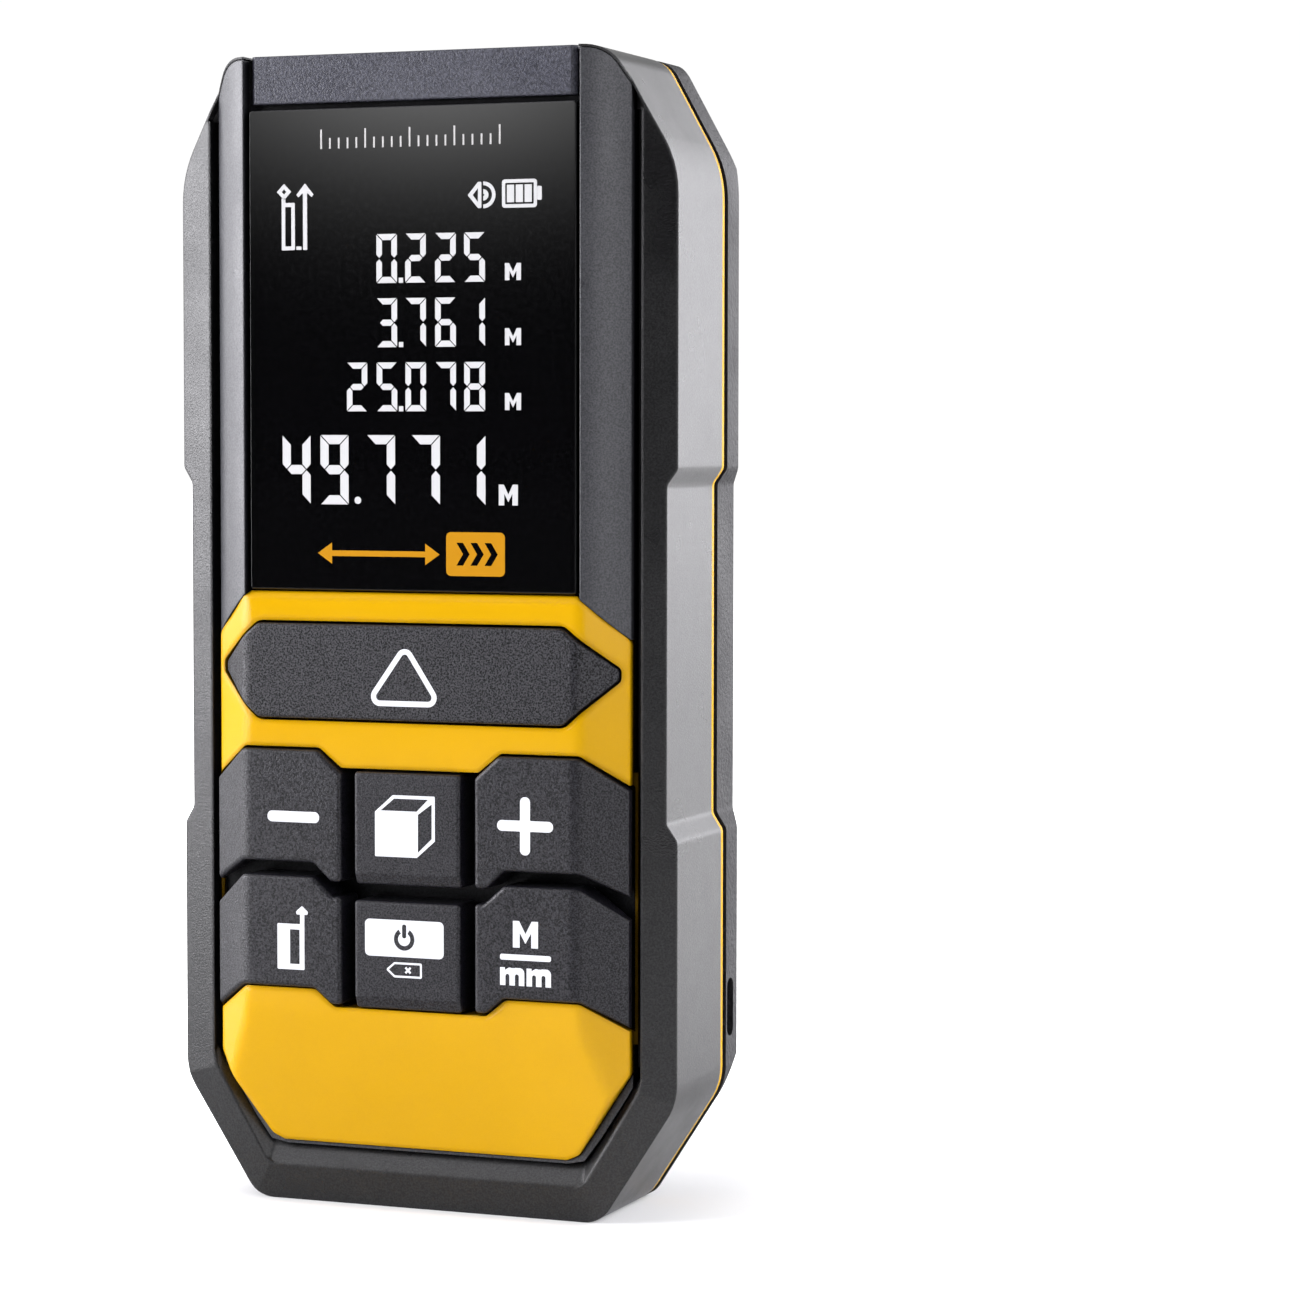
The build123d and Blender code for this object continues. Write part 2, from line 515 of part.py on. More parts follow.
# ================================================================ yellow key panel
with BuildPart() as keypad_frame:
    # sculpted block first: flat, side facets and falling lower end, with soft creases
    with BuildSketch(front(0)):
        with Locations((0, 34)):
            Rectangle(56, 70)
    extrude(amount=-PANEL_BACK - 1)
    for sx in (-1, 1):
        split(bisect_by=slope(sx * FACET_X, 40, sx, 0, 0, FACET_SLOPE), keep=Keep.BOTTOM)
    split(bisect_by=slope(0, 20.0, 0, -1, 0, 0.246), keep=Keep.BOTTOM)
    creases = keypad_frame.edges().filter_by(lambda e: abs(abs(e.center().X) - FACET_X) < 6.0 and e.length > 10
                                             and abs(e.center().X) > 10 and e.center().Y < y(3.9))
    fillet(creases, radius=2.2)
    fillet(keypad_frame.edges().filter_by(Axis.X).filter_by(lambda e: abs(e.center().Z - 20.0) < 0.3 and e.length > 25), radius=14.0)
    # trimmed to the panel's outline
    with BuildSketch(front(-1)):
        add(outline(PANEL, PANEL_ROUNDS))
    extrude(amount=-(PANEL_BACK + 1), mode=Mode.INTERSECT)
    # small bevel along the upper edge
    split(bisect_by=slope(0, PANEL_TOP - 0.75, 0, 1, 0, 0.9), keep=Keep.BOTTOM)
    # narrow flange that joins the upper and the lower half past the keys' outer ends
    with BuildSketch(front(3.80)):
        for sx in (-1, 1):
            with Locations((sx * 22.50, 31.35)):
                Rectangle(0.56, 26.7)
    extrude(amount=-(PANEL_BACK - 3.80))
    with BuildSketch(front(-2)):
        add(outline(KEYHOLE, [(8.24, 20.5, 0.6), (10.32, 22.2, 0.8), (9.85, 46.45, 0.6), (7.45, 44.5, 0.6), (18.1, 46.45, 1.0), (18.1, 22.2, 1.2)]))
    extrude(amount=-8, mode=Mode.SUBTRACT)
    with BuildSketch(front(-2)):
        add(outline(BIG_KEY, BIG_ROUNDS, grow=0.26))
    extrude(amount=-8, mode=Mode.SUBTRACT)
keypad_frame.part.label = "keypad_frame"
export_step(keypad_frame.part, "parts/keypad_frame.step")


# ================================================================ keys
def stem(name):
    """The key's stem and the retaining flange behind the key deck."""
    cx, cz, hx, hz = STEMS[name]
    with BuildPart() as s:
        with BuildSketch(front(KEY_BODY_BACK - 0.5)):
            with Locations((cx, cz)):
                Rectangle(2 * hx, 2 * hz)
        extrude(amount=-(STEM_END - KEY_BODY_BACK + 0.5))
        with BuildSketch(front(FLANGE_A)):
            with Locations((cx, cz)):
                Rectangle(2 * hx + 1.6, 2 * hz + 1.6)
        extrude(amount=-(FLANGE_B - FLANGE_A))
    return s.part


def front_edges(part, depth):
    """Edges of a key's flat face."""
    return part.edges().filter_by(lambda e: abs(e.center().Y - y(depth)) < 0.01)


with BuildPart() as measure_button:
    with BuildSketch(front(-0.55)):
        add(outline(BIG_KEY, BIG_ROUNDS))
    extrude(amount=-(KEY_BODY_BACK + 0.55))
    for sx in (-1, 1):
        split(bisect_by=slope(sx * 17.9, 54, sx, 0, -0.55, 0.88), keep=Keep.BOTTOM)
    fillet(measure_button.edges().filter_by(Axis.Z).filter_by(lambda e: abs(abs(e.center().X) - 17.9) < 0.2), radius=1.6)
    fillet(measure_button.edges().filter_by(lambda e: e.center().Y < y(2.6) and abs(e.center().Z - 54.2) > 0.8), radius=0.35)
    add(stem("measure"))
measure_button.part.label = "measure_button"
export_step(measure_button.part, "parts/measure_button.step")


def side_key(points, rounds, sx):
    """A side key: flat face, outer end falling back over the panel's side facet."""
    with BuildPart() as k:
        with BuildSketch(front(KEY_D)):
            with Locations((sx * 15, 33)):
                Rectangle(30, 50)
        extrude(amount=-(KEY_BODY_BACK - KEY_D))
        split(bisect_by=slope(sx * 18.0, 40, sx, 0, KEY_D, 0.7185), keep=Keep.BOTTOM)
        fillet(k.edges().filter_by(Axis.Z).filter_by(lambda e: abs(abs(e.center().X) - 18.0) < 0.2), radius=2.4)
        with BuildSketch(front(KEY_D - 1)):
            add(one_side([(sx * px, pz) for px, pz in points], [(sx * px, pz, r) for px, pz, r in rounds]))
        extrude(amount=-8, mode=Mode.INTERSECT)
        # round the whole rim of the face, leaving out the crease lines that already run smoothly
        fillet(k.edges().filter_by(lambda e: e.center().Y < y(2.45) and not (abs((e % 0.5).Z) > 0.999 and 15 < abs(e.center().X) < 21)),
               radius=0.42)
    return k.part


def middle_key(low, high):
    """A centre key: flat face with a down-facing bevel along its lower edge."""
    with BuildPart() as k:
        with BuildSketch(front(KEY_MID_D)):
            with Locations((0, (low + high) / 2)):
                RectangleRounded(2 * 5.73, high - low, 0.35)
        extrude(amount=-(KEY_BODY_BACK - KEY_MID_D))
        split(bisect_by=slope(0, low + 1.15, 0, -1, KEY_MID_D, 0.42), keep=Keep.BOTTOM)
        fillet(k.edges().filter_by(lambda e: e.center().Y < y(KEY_MID_D + 0.9)), radius=0.35)
    return k.part


with BuildPart() as minus_key:
    add(side_key(PLUS, PLUS_ROUNDS, -1))
    add(stem("minus"))
minus_key.part.label = "minus_key"
export_step(minus_key.part, "parts/minus_key.step")

with BuildPart() as plus_key:
    add(side_key(PLUS, PLUS_ROUNDS, 1))
    add(stem("plus"))
plus_key.part.label = "plus_key"
export_step(plus_key.part, "parts/plus_key.step")

with BuildPart() as reference_key:
    add(side_key(UNIT, UNIT_ROUNDS, -1))
    add(stem("reference"))
reference_key.part.label = "reference_key"
export_step(reference_key.part, "parts/reference_key.step")

with BuildPart() as unit_key:
    add(side_key(UNIT, UNIT_ROUNDS, 1))
    add(stem("unit"))
unit_key.part.label = "unit_key"
export_step(unit_key.part, "parts/unit_key.step")

with BuildPart() as function_key:
    add(middle_key(33.03, 44.22))
    add(stem("function"))
function_key.part.label = "function_key"
export_step(function_key.part, "parts/function_key.step")

with BuildPart() as clear_key:
    add(middle_key(20.70, 31.45))
    add(stem("clear"))
clear_key.part.label = "clear_key"
export_step(clear_key.part, "parts/clear_key.step")

# ================================================================ keypad electronics
with BuildPart() as keypad_mat:
    with BuildSketch(front(MAT_A)):
        with Locations((0, 39.5)):
            RectangleRounded(36.0, 40.0, 2.0)
        for cx, cz, hx, hz in STEMS.values():
            with Locations((cx, cz)):
                Rectangle(2 * hx + 0.8, 2 * hz + 0.8, mode=Mode.SUBTRACT)
    extrude(amount=-(MAT_B - MAT_A))
keypad_mat.part.label = "keypad_mat"
export_step(keypad_mat.part, "parts/keypad_mat.step")

with BuildPart() as switch_domes:
    # seven snap domes on the board, one under each stem
    for cx, cz, hx, hz in STEMS.values():
        with BuildSketch(front(PCB_A - 0.02)):
            with Locations((cx, cz)):
                Circle(1.4)
        extrude(amount=0.26, taper=35)
switch_domes.part.label = "switch_domes"
export_step(switch_domes.part, "parts/switch_domes.step")

with BuildPart() as main_board:
    with BuildSketch(front(PCB_A)):
        with BuildLine():
            Polyline(*both([(13.6, 12.0), (18.6, 17.0), (23.2, 18.6), (23.2, 25.4), (18.6, 27.0), (18.6, 79.0), (23.2, 80.6), (23.2, 87.4),
                            (16.5, 90.0), (16.5, 110.5)]), close=True)
        make_face()
        for sx in (-1, 1):
            with Locations((sx * 21.2, 84.0), (sx * 21.2, 22.0)):
                Circle(1.0, mode=Mode.SUBTRACT)
    extrude(amount=-(PCB_B - PCB_A))
    # the larger components on the rear side
    with BuildSketch(front(PCB_B - 0.05)):
        with Locations((-9.0, 77.0)):
            Rectangle(9.0, 9.0)
        with Locations((3.0, 77.0)):
            Rectangle(6.0, 5.0)
        with Locations((0.0, 60.0)):
            Rectangle(5.0, 4.0)
    extrude(amount=-1.05)
    with BuildSketch(front(PCB_B - 0.05)):
        with Locations((-12.0, 66.0), (-12.0, 62.0), (11.0, 66.0), (8.0, 58.0), (-8.0, 58.0)):
            Rectangle(2.4, 1.4)
    extrude(amount=-0.75)
main_board.part.label = "main_board"
export_step(main_board.part, "parts/main_board.step")


def pan_screw(length, r_head, h_head, r_shank):
    """Pan-head screw along +Z with its head's underside at z = 0 and a six-lobe style recess simplified to a hexagon."""
    with BuildPart() as s:
        with BuildSketch(Plane.XZ):
            with BuildLine():
                Polyline((0, h_head), (r_head * 0.72, h_head), (r_head, h_head * 0.55), (r_head, 0), (r_shank, 0), (r_shank, -length + 0.6),
                         (r_shank * 0.45, -length), (0, -length), close=True)
            make_face()
        revolve(axis=Axis.Z)
        with BuildSketch(Plane.XY.offset(h_head)):
            RegularPolygon(r_head * 0.42, 6)
        extrude(amount=-h_head * 0.6, mode=Mode.SUBTRACT)
    return s.part


with BuildPart() as board_screws:
    for sx in (-1, 1):
        for z in (84.0, 22.0):
            with Locations(Plane(origin=(sx * 21.2, y(PCB_B + 0.03), z), x_dir=(1, 0, 0), z_dir=(0, 1, 0))):
                add(pan_screw(2.2, 1.7, 0.9, 0.75))
board_screws.part.label = "board_screws"
export_step(board_screws.part, "parts/board_screws.step")

with BuildPart() as housing_screws:
    for sx in (-1, 1):
        for px, pz in (SCREWS_TOP, SCREWS_LOW):
            with Locations(Plane(origin=(sx * px, y(DEPTH_BACK - 1.87), pz), x_dir=(1, 0, 0), z_dir=(0, 1, 0))):
                add(pan_screw(14.0, 1.95, 1.3, 0.94))
housing_screws.part.label = "housing_screws"
export_step(housing_screws.part, "parts/housing_screws.step")

with BuildPart() as buzzer:
    with BuildSketch(front(PCB_B + 0.03)):
        with Locations((11.5, 75.5)):
            Circle(4.0)
    extrude(amount=-2.6)
    with BuildSketch(front(PCB_B + 2.7)):
        with Locations((11.5, 75.5)):
            Circle(0.7)
    extrude(amount=1.2, mode=Mode.SUBTRACT)
buzzer.part.label = "buzzer"
export_step(buzzer.part, "parts/buzzer.step")

# ================================================================ optics
OPT_LOW, OPT_TOP = 84.5, 112.7


def dome(r, edge, crown):
    """A point half way along a spherical lens face that meets the axis squarely."""
    sphere = (r * r + (crown - edge) ** 2) / (2 * (crown - edge))
    return r / 2, crown - sphere + (sphere ** 2 - r * r / 4) ** 0.5


with BuildPart() as optics_chassis:
    # block with a wide receiver bore and a narrow transmitter bore, both along the beam
    with BuildSketch(Plane.XY.offset(OPT_LOW)):
        with Locations((-0.6, y(OPTIC_D + 0.9))):
            RectangleRounded(27.0, 14.9, 1.0)
    extrude(amount=OPT_TOP - OPT_LOW)
    with BuildSketch(Plane.XY.offset(OPT_TOP)):
        with Locations((LENS_X, y(OPTIC_D + 0.6))):
            Circle(6.75)
    extrude(amount=-4.6, mode=Mode.SUBTRACT)
    with BuildSketch(Plane.XY.offset(OPT_LOW + 3)):
        with Locations((LENS_X, y(OPTIC_D + 0.6))):
            Circle(5.9)
    extrude(amount=40, mode=Mode.SUBTRACT)
    with BuildSketch(Plane.XY.offset(OPT_LOW - 1)):
        with Locations((LENS_X, y(OPTIC_D + 0.6))):
            Circle(2.0)
    extrude(amount=8, mode=Mode.SUBTRACT)
    with BuildSketch(Plane.XY.offset(OPT_LOW - 1)):
        with Locations((LASER_X, y(OPTIC_D + 0.6))):
            Circle(3.35)
    extrude(amount=40, mode=Mode.SUBTRACT)
optics_chassis.part.label = "optics_chassis"
export_step(optics_chassis.part, "parts/optics_chassis.step")

with BuildPart() as receiver_lens:
    # plano-convex collecting lens
    with BuildSketch(Plane(origin=(LENS_X, y(OPTIC_D + 0.6), 108.3), x_dir=(1, 0, 0), z_dir=(0, -1, 0))):
        with BuildLine():
            Line((0, 0), (6.65, 0))
            Line((6.65, 0), (6.65, 2.9))
            ThreePointArc((6.65, 2.9), dome(6.65, 2.9, 5.35), (0, 5.35))
            Line((0, 5.35), (0, 0))
        make_face()
    revolve(axis=Axis((LENS_X, y(OPTIC_D + 0.6), 0), (0, 0, 1)))
receiver_lens.part.label = "receiver_lens"
export_step(receiver_lens.part, "parts/receiver_lens.step")

with BuildPart() as laser_barrel:
    with BuildSketch(Plane.XY.offset(93.0)):
        with Locations((LASER_X, y(OPTIC_D + 0.6))):
            Circle(3.28)
            Circle(2.55, mode=Mode.SUBTRACT)
    extrude(amount=18.5)
    with BuildSketch(Plane.XY.offset(93.0)):
        with Locations((LASER_X, y(OPTIC_D + 0.6))):
            Circle(2.8)
            Circle(1.7, mode=Mode.SUBTRACT)
    extrude(amount=2.0)
laser_barrel.part.label = "laser_barrel"
export_step(laser_barrel.part, "parts/laser_barrel.step")

with BuildPart() as collimator_lens:
    with BuildSketch(Plane(origin=(LASER_X, y(OPTIC_D + 0.6), 106.5), x_dir=(1, 0, 0), z_dir=(0, -1, 0))):
        with BuildLine():
            Line((0, 0), (2.5, 0))
            Line((2.5, 0), (2.5, 1.4))
            ThreePointArc((2.5, 1.4), dome(2.5, 1.4, 2.2), (0, 2.2))
            Line((0, 2.2), (0, 0))
        make_face()
    revolve(axis=Axis((LASER_X, y(OPTIC_D + 0.6), 0), (0, 0, 1)))
collimator_lens.part.label = "collimator_lens"
export_step(collimator_lens.part, "parts/collimator_lens.step")

with BuildPart() as laser_diode:
    # can with flange and three leads
    with BuildSketch(Plane.XY.offset(91.7)):
        with Locations((LASER_X, y(OPTIC_D + 0.6))):
            Circle(2.8)
    extrude(amount=1.25)
    with BuildSketch(Plane.XY.offset(92.9)):
        with Locations((LASER_X, y(OPTIC_D + 0.6))):
            Circle(1.6)
    extrude(amount=2.3)
    with BuildSketch(Plane.XY.offset(91.75)):
        with Locations((LASER_X, y(OPTIC_D + 0.6))):
            with PolarLocations(1.27, 3):
                Circle(0.22)
    extrude(amount=-9.0)
laser_diode.part.label = "laser_diode"
export_step(laser_diode.part, "parts/laser_diode.step")

with BuildPart() as detector_board:
    with BuildSketch(Plane.XY.offset(80.4)):
        with Locations((LENS_X, y(OPTIC_D + 0.9))):
            Rectangle(13.6, 11.0)
    extrude(amount=1.2)
detector_board.part.label = "detector_board"
export_step(detector_board.part, "parts/detector_board.step")

with BuildPart() as photodetector:
    with BuildSketch(Plane.XY.offset(81.65)):
        with Locations((LENS_X, y(OPTIC_D + 0.6))):
            Circle(2.7)
    extrude(amount=0.6)
    with BuildSketch(Plane.XY.offset(82.2)):
        with Locations((LENS_X, y(OPTIC_D + 0.6))):
            Circle(1.9)
    extrude(amount=3.4)
photodetector.part.label = "photodetector"
export_step(photodetector.part, "parts/photodetector.step")

with BuildPart() as optics_cover:
    # dark plate in the top end with a hole over each light path
    with BuildSketch(Plane.XY.offset(112.78)):
        with Locations((0, y((7.6 + 24.0) / 2))):
            RectangleRounded(28.7, 24.0 - 7.6 - 0.3, 0.6)
    extrude(amount=HEIGHT - 0.25 - 112.78)
    with BuildSketch(Plane.XY.offset(112.0)):
        with Locations((LENS_X, y(OPTIC_D + 0.6))):
            Circle(6.1)
        with Locations((LASER_X, y(OPTIC_D + 0.6))):
            Circle(2.6)
    extrude(amount=5, mode=Mode.SUBTRACT)
    chamfer(optics_cover.faces().sort_by(Axis.Z)[-1].edges().filter_by(GeomType.CIRCLE).filter_by(lambda e: e.length > 10), length=0.5)
optics_cover.part.label = "optics_cover"
export_step(optics_cover.part, "parts/optics_cover.step")

with BuildPart() as laser_window:
    with BuildSketch(Plane.XY.offset(113.2)):
        with Locations((LASER_X, y(OPTIC_D + 0.6))):
            Circle(2.55)
    extrude(amount=0.7)
laser_window.part.label = "laser_window"
export_step(laser_window.part, "parts/laser_window.step")

# ================================================================ battery bay
BAY_LOW, BAY_TOP = 42.6 - 26.8, 42.6 + 26.8


def aaa_cell(sign):
    """Standard AAA cell along Z, centred on the origin; its button points along sign * Z."""
    with BuildPart() as c:
        with BuildSketch(Plane.XZ):
            with BuildLine():
                Polyline((0, -AAA_L / 2), (AAA_R - 0.5, -AAA_L / 2), (AAA_R, -AAA_L / 2 + 0.4), (AAA_R, AAA_L / 2 - 1.3), (AAA_R - 0.5, AAA_L / 2 - 0.8),
                         (1.9, AAA_L / 2 - 0.8), (1.9, AAA_L / 2), (0, AAA_L / 2), close=True)
            make_face()
        revolve(axis=Axis.Z)
    return c.part if sign > 0 else c.part.rotate(Axis.X, 180)


CELL_L_Z = BAY_TOP - 0.45 - AAA_L / 2 - 0.05
CELL_R_Z = BAY_LOW + 0.45 + AAA_L / 2 + 0.05
with BuildPart() as cell_left:
    with Locations((-CELL_X, y(CELL_D), CELL_L_Z)):
        add(aaa_cell(1))
cell_left.part.label = "cell_left"
export_step(cell_left.part, "parts/cell_left.step")

with BuildPart() as cell_right:
    with Locations((CELL_X, y(CELL_D), CELL_R_Z)):
        add(aaa_cell(-1))
cell_right.part.label = "cell_right"
export_step(cell_right.part, "parts/cell_right.step")


def coil(cx, z0, z1):
    """Conical contact spring between z0 (wide end) and z1, wire 0.5 mm."""
    turns = 4
    rise = abs(z1 - z0) - 0.55
    with BuildPart() as c:
        with BuildLine() as path:
            Helix(pitch=rise / turns, height=rise, radius=3.3, center=(0, 0, 0), direction=(0, 0, 1), cone_angle=-12)
        with BuildSketch(Plane(origin=path.line @ 0, z_dir=path.line % 0)):
            Circle(0.25)
        sweep()
    base = c.part
    if z1 < z0:
        base = base.rotate(Axis.X, 180)
    return base.moved(Location((cx, y(CELL_D), z0 + (0.27 if z1 > z0 else -0.27))))


with BuildPart() as contact_springs:
    add(coil(-CELL_X, BAY_LOW + 0.45, CELL_L_Z - AAA_L / 2))
    add(coil(CELL_X, BAY_TOP - 0.45, CELL_R_Z + AAA_L / 2))
contact_springs.part.label = "contact_springs"
export_step(contact_springs.part, "parts/contact_springs.step")

with BuildPart() as contact_plates:
    # two single plates at the upper end, one bridging plate at the lower end
    with BuildSketch(Plane.XY.offset(BAY_TOP - 0.4)):
        with Locations((-CELL_X, y(CELL_D)), (CELL_X, y(CELL_D))):
            RectangleRounded(8.6, 8.6, 1.0)
    extrude(amount=0.35)
    with BuildSketch(Plane.XY.offset(BAY_LOW + 0.05)):
        with Locations((0, y(CELL_D))):
            RectangleRounded(20.4, 8.6, 1.0)
    extrude(amount=0.35)
contact_plates.part.label = "contact_plates"
export_step(contact_plates.part, "parts/contact_plates.step")

# ================================================================ battery door
with BuildPart() as battery_door:
    with BuildSketch(front(DEPTH_BACK - DOOR_T)):
        with Locations((0, (DOOR_LOW + HINGE_R + DOOR_TOP) / 2)):
            Rectangle(2 * DOOR_X, DOOR_TOP - DOOR_LOW - HINGE_R)
    extrude(amount=-DOOR_T)
    # fully rounded lower end, centred on the hinge axis
    with BuildSketch(Plane(origin=(-DOOR_X, y(DEPTH_BACK - HINGE_R), DOOR_LOW + HINGE_R), x_dir=(0, 1, 0), z_dir=(1, 0, 0))):
        Circle(HINGE_R)
    extrude(amount=2 * DOOR_X)
    # grip grooves near the thumb notch
    with BuildSketch(front(DEPTH_BACK)):
        with Locations((0, 66.6), (0, 64.7), (0, 62.8)):
            SlotOverall(13.0, 0.9)
    extrude(amount=0.45, mode=Mode.SUBTRACT)
    # hinge pegs
    with BuildSketch(Plane(origin=(-DOOR_X - PEG_L, y(DEPTH_BACK - HINGE_R), DOOR_LOW + HINGE_R), x_dir=(0, 1, 0), z_dir=(1, 0, 0))):
        Circle(PEG_R)
    extrude(amount=2 * (DOOR_X + PEG_L))
    fillet(battery_door.faces().sort_by(Axis.Y)[-1].edges().filter_by(Axis.Z).filter_by(lambda e: e.length > 40), radius=0.2)
battery_door.part.label = "battery_door"
export_step(battery_door.part, "parts/battery_door.step")
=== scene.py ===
import json
import math

import bmesh
import bpy
from mathutils import Matrix, Vector

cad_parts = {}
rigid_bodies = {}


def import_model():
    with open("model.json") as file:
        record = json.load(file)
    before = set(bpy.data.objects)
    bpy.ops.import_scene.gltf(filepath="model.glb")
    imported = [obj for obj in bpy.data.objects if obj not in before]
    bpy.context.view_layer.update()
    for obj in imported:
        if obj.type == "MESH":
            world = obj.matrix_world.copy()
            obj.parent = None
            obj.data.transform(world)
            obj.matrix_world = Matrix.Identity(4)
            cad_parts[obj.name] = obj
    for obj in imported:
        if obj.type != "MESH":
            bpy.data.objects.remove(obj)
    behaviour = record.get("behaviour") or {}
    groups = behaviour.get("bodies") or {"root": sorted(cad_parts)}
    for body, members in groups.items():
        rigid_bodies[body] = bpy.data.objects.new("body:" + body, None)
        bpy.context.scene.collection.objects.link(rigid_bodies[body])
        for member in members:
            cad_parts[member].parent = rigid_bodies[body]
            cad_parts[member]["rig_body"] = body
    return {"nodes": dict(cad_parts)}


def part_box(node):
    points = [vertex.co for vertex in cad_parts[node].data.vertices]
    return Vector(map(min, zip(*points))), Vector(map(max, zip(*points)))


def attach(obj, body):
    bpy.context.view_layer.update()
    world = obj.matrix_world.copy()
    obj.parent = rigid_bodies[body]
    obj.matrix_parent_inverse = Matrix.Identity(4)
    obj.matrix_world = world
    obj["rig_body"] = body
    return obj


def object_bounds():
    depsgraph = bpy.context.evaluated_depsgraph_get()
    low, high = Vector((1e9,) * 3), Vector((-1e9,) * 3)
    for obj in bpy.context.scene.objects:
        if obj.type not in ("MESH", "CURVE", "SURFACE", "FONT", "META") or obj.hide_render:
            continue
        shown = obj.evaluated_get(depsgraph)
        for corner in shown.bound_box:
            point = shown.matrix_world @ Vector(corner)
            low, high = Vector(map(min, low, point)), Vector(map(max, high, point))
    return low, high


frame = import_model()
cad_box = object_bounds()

nodes = frame["nodes"]
scene = bpy.context.scene
MM = 0.001
low, high = cad_box
centre = (low + high) / 2
HEIGHT = high.z - low.z


# ---------------------------------------------------------------- camera
def camera():
    yaw, pitch, roll = math.radians(21.1603), math.radians(3.2368), math.radians(0.0859)
    look = Vector((-math.sin(yaw) * math.cos(pitch), math.cos(yaw) * math.cos(pitch), -math.sin(pitch)))
    right = Vector((math.cos(yaw), math.sin(yaw), 0))
    up = right.cross(look)
    right2 = right * math.cos(roll) + up * math.sin(roll)
    up2 = up * math.cos(roll) - right * math.sin(roll)
    data = bpy.data.cameras.new("camera")
    data.lens, data.sensor_width, data.sensor_fit = 104.94, 36.0, "HORIZONTAL"
    data.clip_start, data.clip_end = 0.01, 50
    cam = bpy.data.objects.new("camera", data)
    place = centre + Vector((1.36196, -3.06241, 0.17374)) * HEIGHT
    m = Matrix((right2, up2, -look)).transposed().to_4x4()
    m.translation = place
    cam.matrix_world = m
    scene.collection.objects.link(cam)
    scene.camera = cam


camera()
scene.view_settings.view_transform = "Standard"


# ---------------------------------------------------------------- material kit
class Tree:
    """A small helper round one material's node tree."""

    def __init__(self, name):
        self.mat = bpy.data.materials.new(name)
        self.mat.use_nodes = True
        self.nt = self.mat.node_tree
        self.nt.nodes.clear()
        self.out = self.add("ShaderNodeOutputMaterial")
        self.bsdf = self.add("ShaderNodeBsdfPrincipled")
        self.link(self.bsdf, "BSDF", self.out, "Surface")
        self.coord = self.add("ShaderNodeTexCoord")
        self.mm = self.add("ShaderNodeMapping")
        self.mm.inputs["Scale"].default_value = (1000, 1000, 1000)
        self.link(self.coord, "Object", self.mm, "Vector")

    def add(self, kind, **props):
        n = self.nt.nodes.new(kind)
        for k, v in props.items():
            setattr(n, k, v)
        return n

    def link(self, a, sa, b, sb):
        self.nt.links.new(a.outputs[sa], b.inputs[sb])

    def set(self, **values):
        for k, v in values.items():
            socket = self.bsdf.inputs[k.replace("_", " ")]
            if hasattr(socket.default_value, "__len__") and len(v) == 3:
                v = (*v, 1.0)
            socket.default_value = v

    def noise(self, size, detail=2.0, rough=0.5, stretch=None, offset=0.0):
        """Noise whose features are about size millimetres across."""
        n = self.add("ShaderNodeTexNoise")
        n.inputs["Scale"].default_value = 1.0 / size
        n.inputs["Detail"].default_value = detail
        n.inputs["Roughness"].default_value = rough
        if stretch or offset:
            m = self.add("ShaderNodeMapping")
            m.inputs["Scale"].default_value = stretch or (1, 1, 1)
            m.inputs["Location"].default_value = (offset, offset * 1.7, offset * 0.6)
            self.link(self.mm, "Vector", m, "Vector")
            self.link(m, "Vector", n, "Vector")
        else:
            self.link(self.mm, "Vector", n, "Vector")
        return n

    def ramp(self, source, stops, output="Fac", smooth=False):
        r = self.add("ShaderNodeValToRGB")
        el = r.color_ramp.elements
        while len(el) < len(stops):
            el.new(0.5)
        for e, (p, c) in zip(el, stops):
            e.position = p
            e.color = (*c, 1.0) if hasattr(c, "__len__") else (c, c, c, 1.0)
        if smooth:
            r.color_ramp.interpolation = "EASE"
        self.link(source, output, r, "Fac")
        return r

    def mix(self, kind, fac, a, b):
        """Mix of two colours; each argument is a colour, a number or (node, socket)."""
        m = self.add("ShaderNodeMix", data_type="RGBA", blend_type=kind)
        for socket, v in ((m.inputs[0], fac), (m.inputs[6], a), (m.inputs[7], b)):
            if isinstance(v, tuple) and len(v) == 2:
                self.nt.links.new(v[0].outputs[v[1]], socket)
            elif hasattr(v, "__len__"):
                socket.default_value = (*v, 1.0)
            else:
                socket.default_value = v
        return m

    def math(self, op, a, b=None, clamp=False):
        m = self.add("ShaderNodeMath", operation=op, use_clamp=clamp)
        for socket, v in ((m.inputs[0], a), (m.inputs[1], b)):
            if isinstance(v, tuple):
                self.nt.links.new(v[0].outputs[v[1]], socket)
            elif v is not None:
                socket.default_value = v
        return m

    def bump(self, source, output, depth_mm, chain=None, strength=1.0):
        b = self.add("ShaderNodeBump")
        b.inputs["Strength"].default_value = strength
        b.inputs["Distance"].default_value = depth_mm * MM
        self.link(source, output, b, "Height")
        if chain is not None:
            self.link(chain, "Normal", b, "Normal")
        return b

    def soft_edge(self, radius_mm, samples=4):
        b = self.add("ShaderNodeBevel", samples=samples)
        b.inputs["Radius"].default_value = radius_mm * MM
        return b


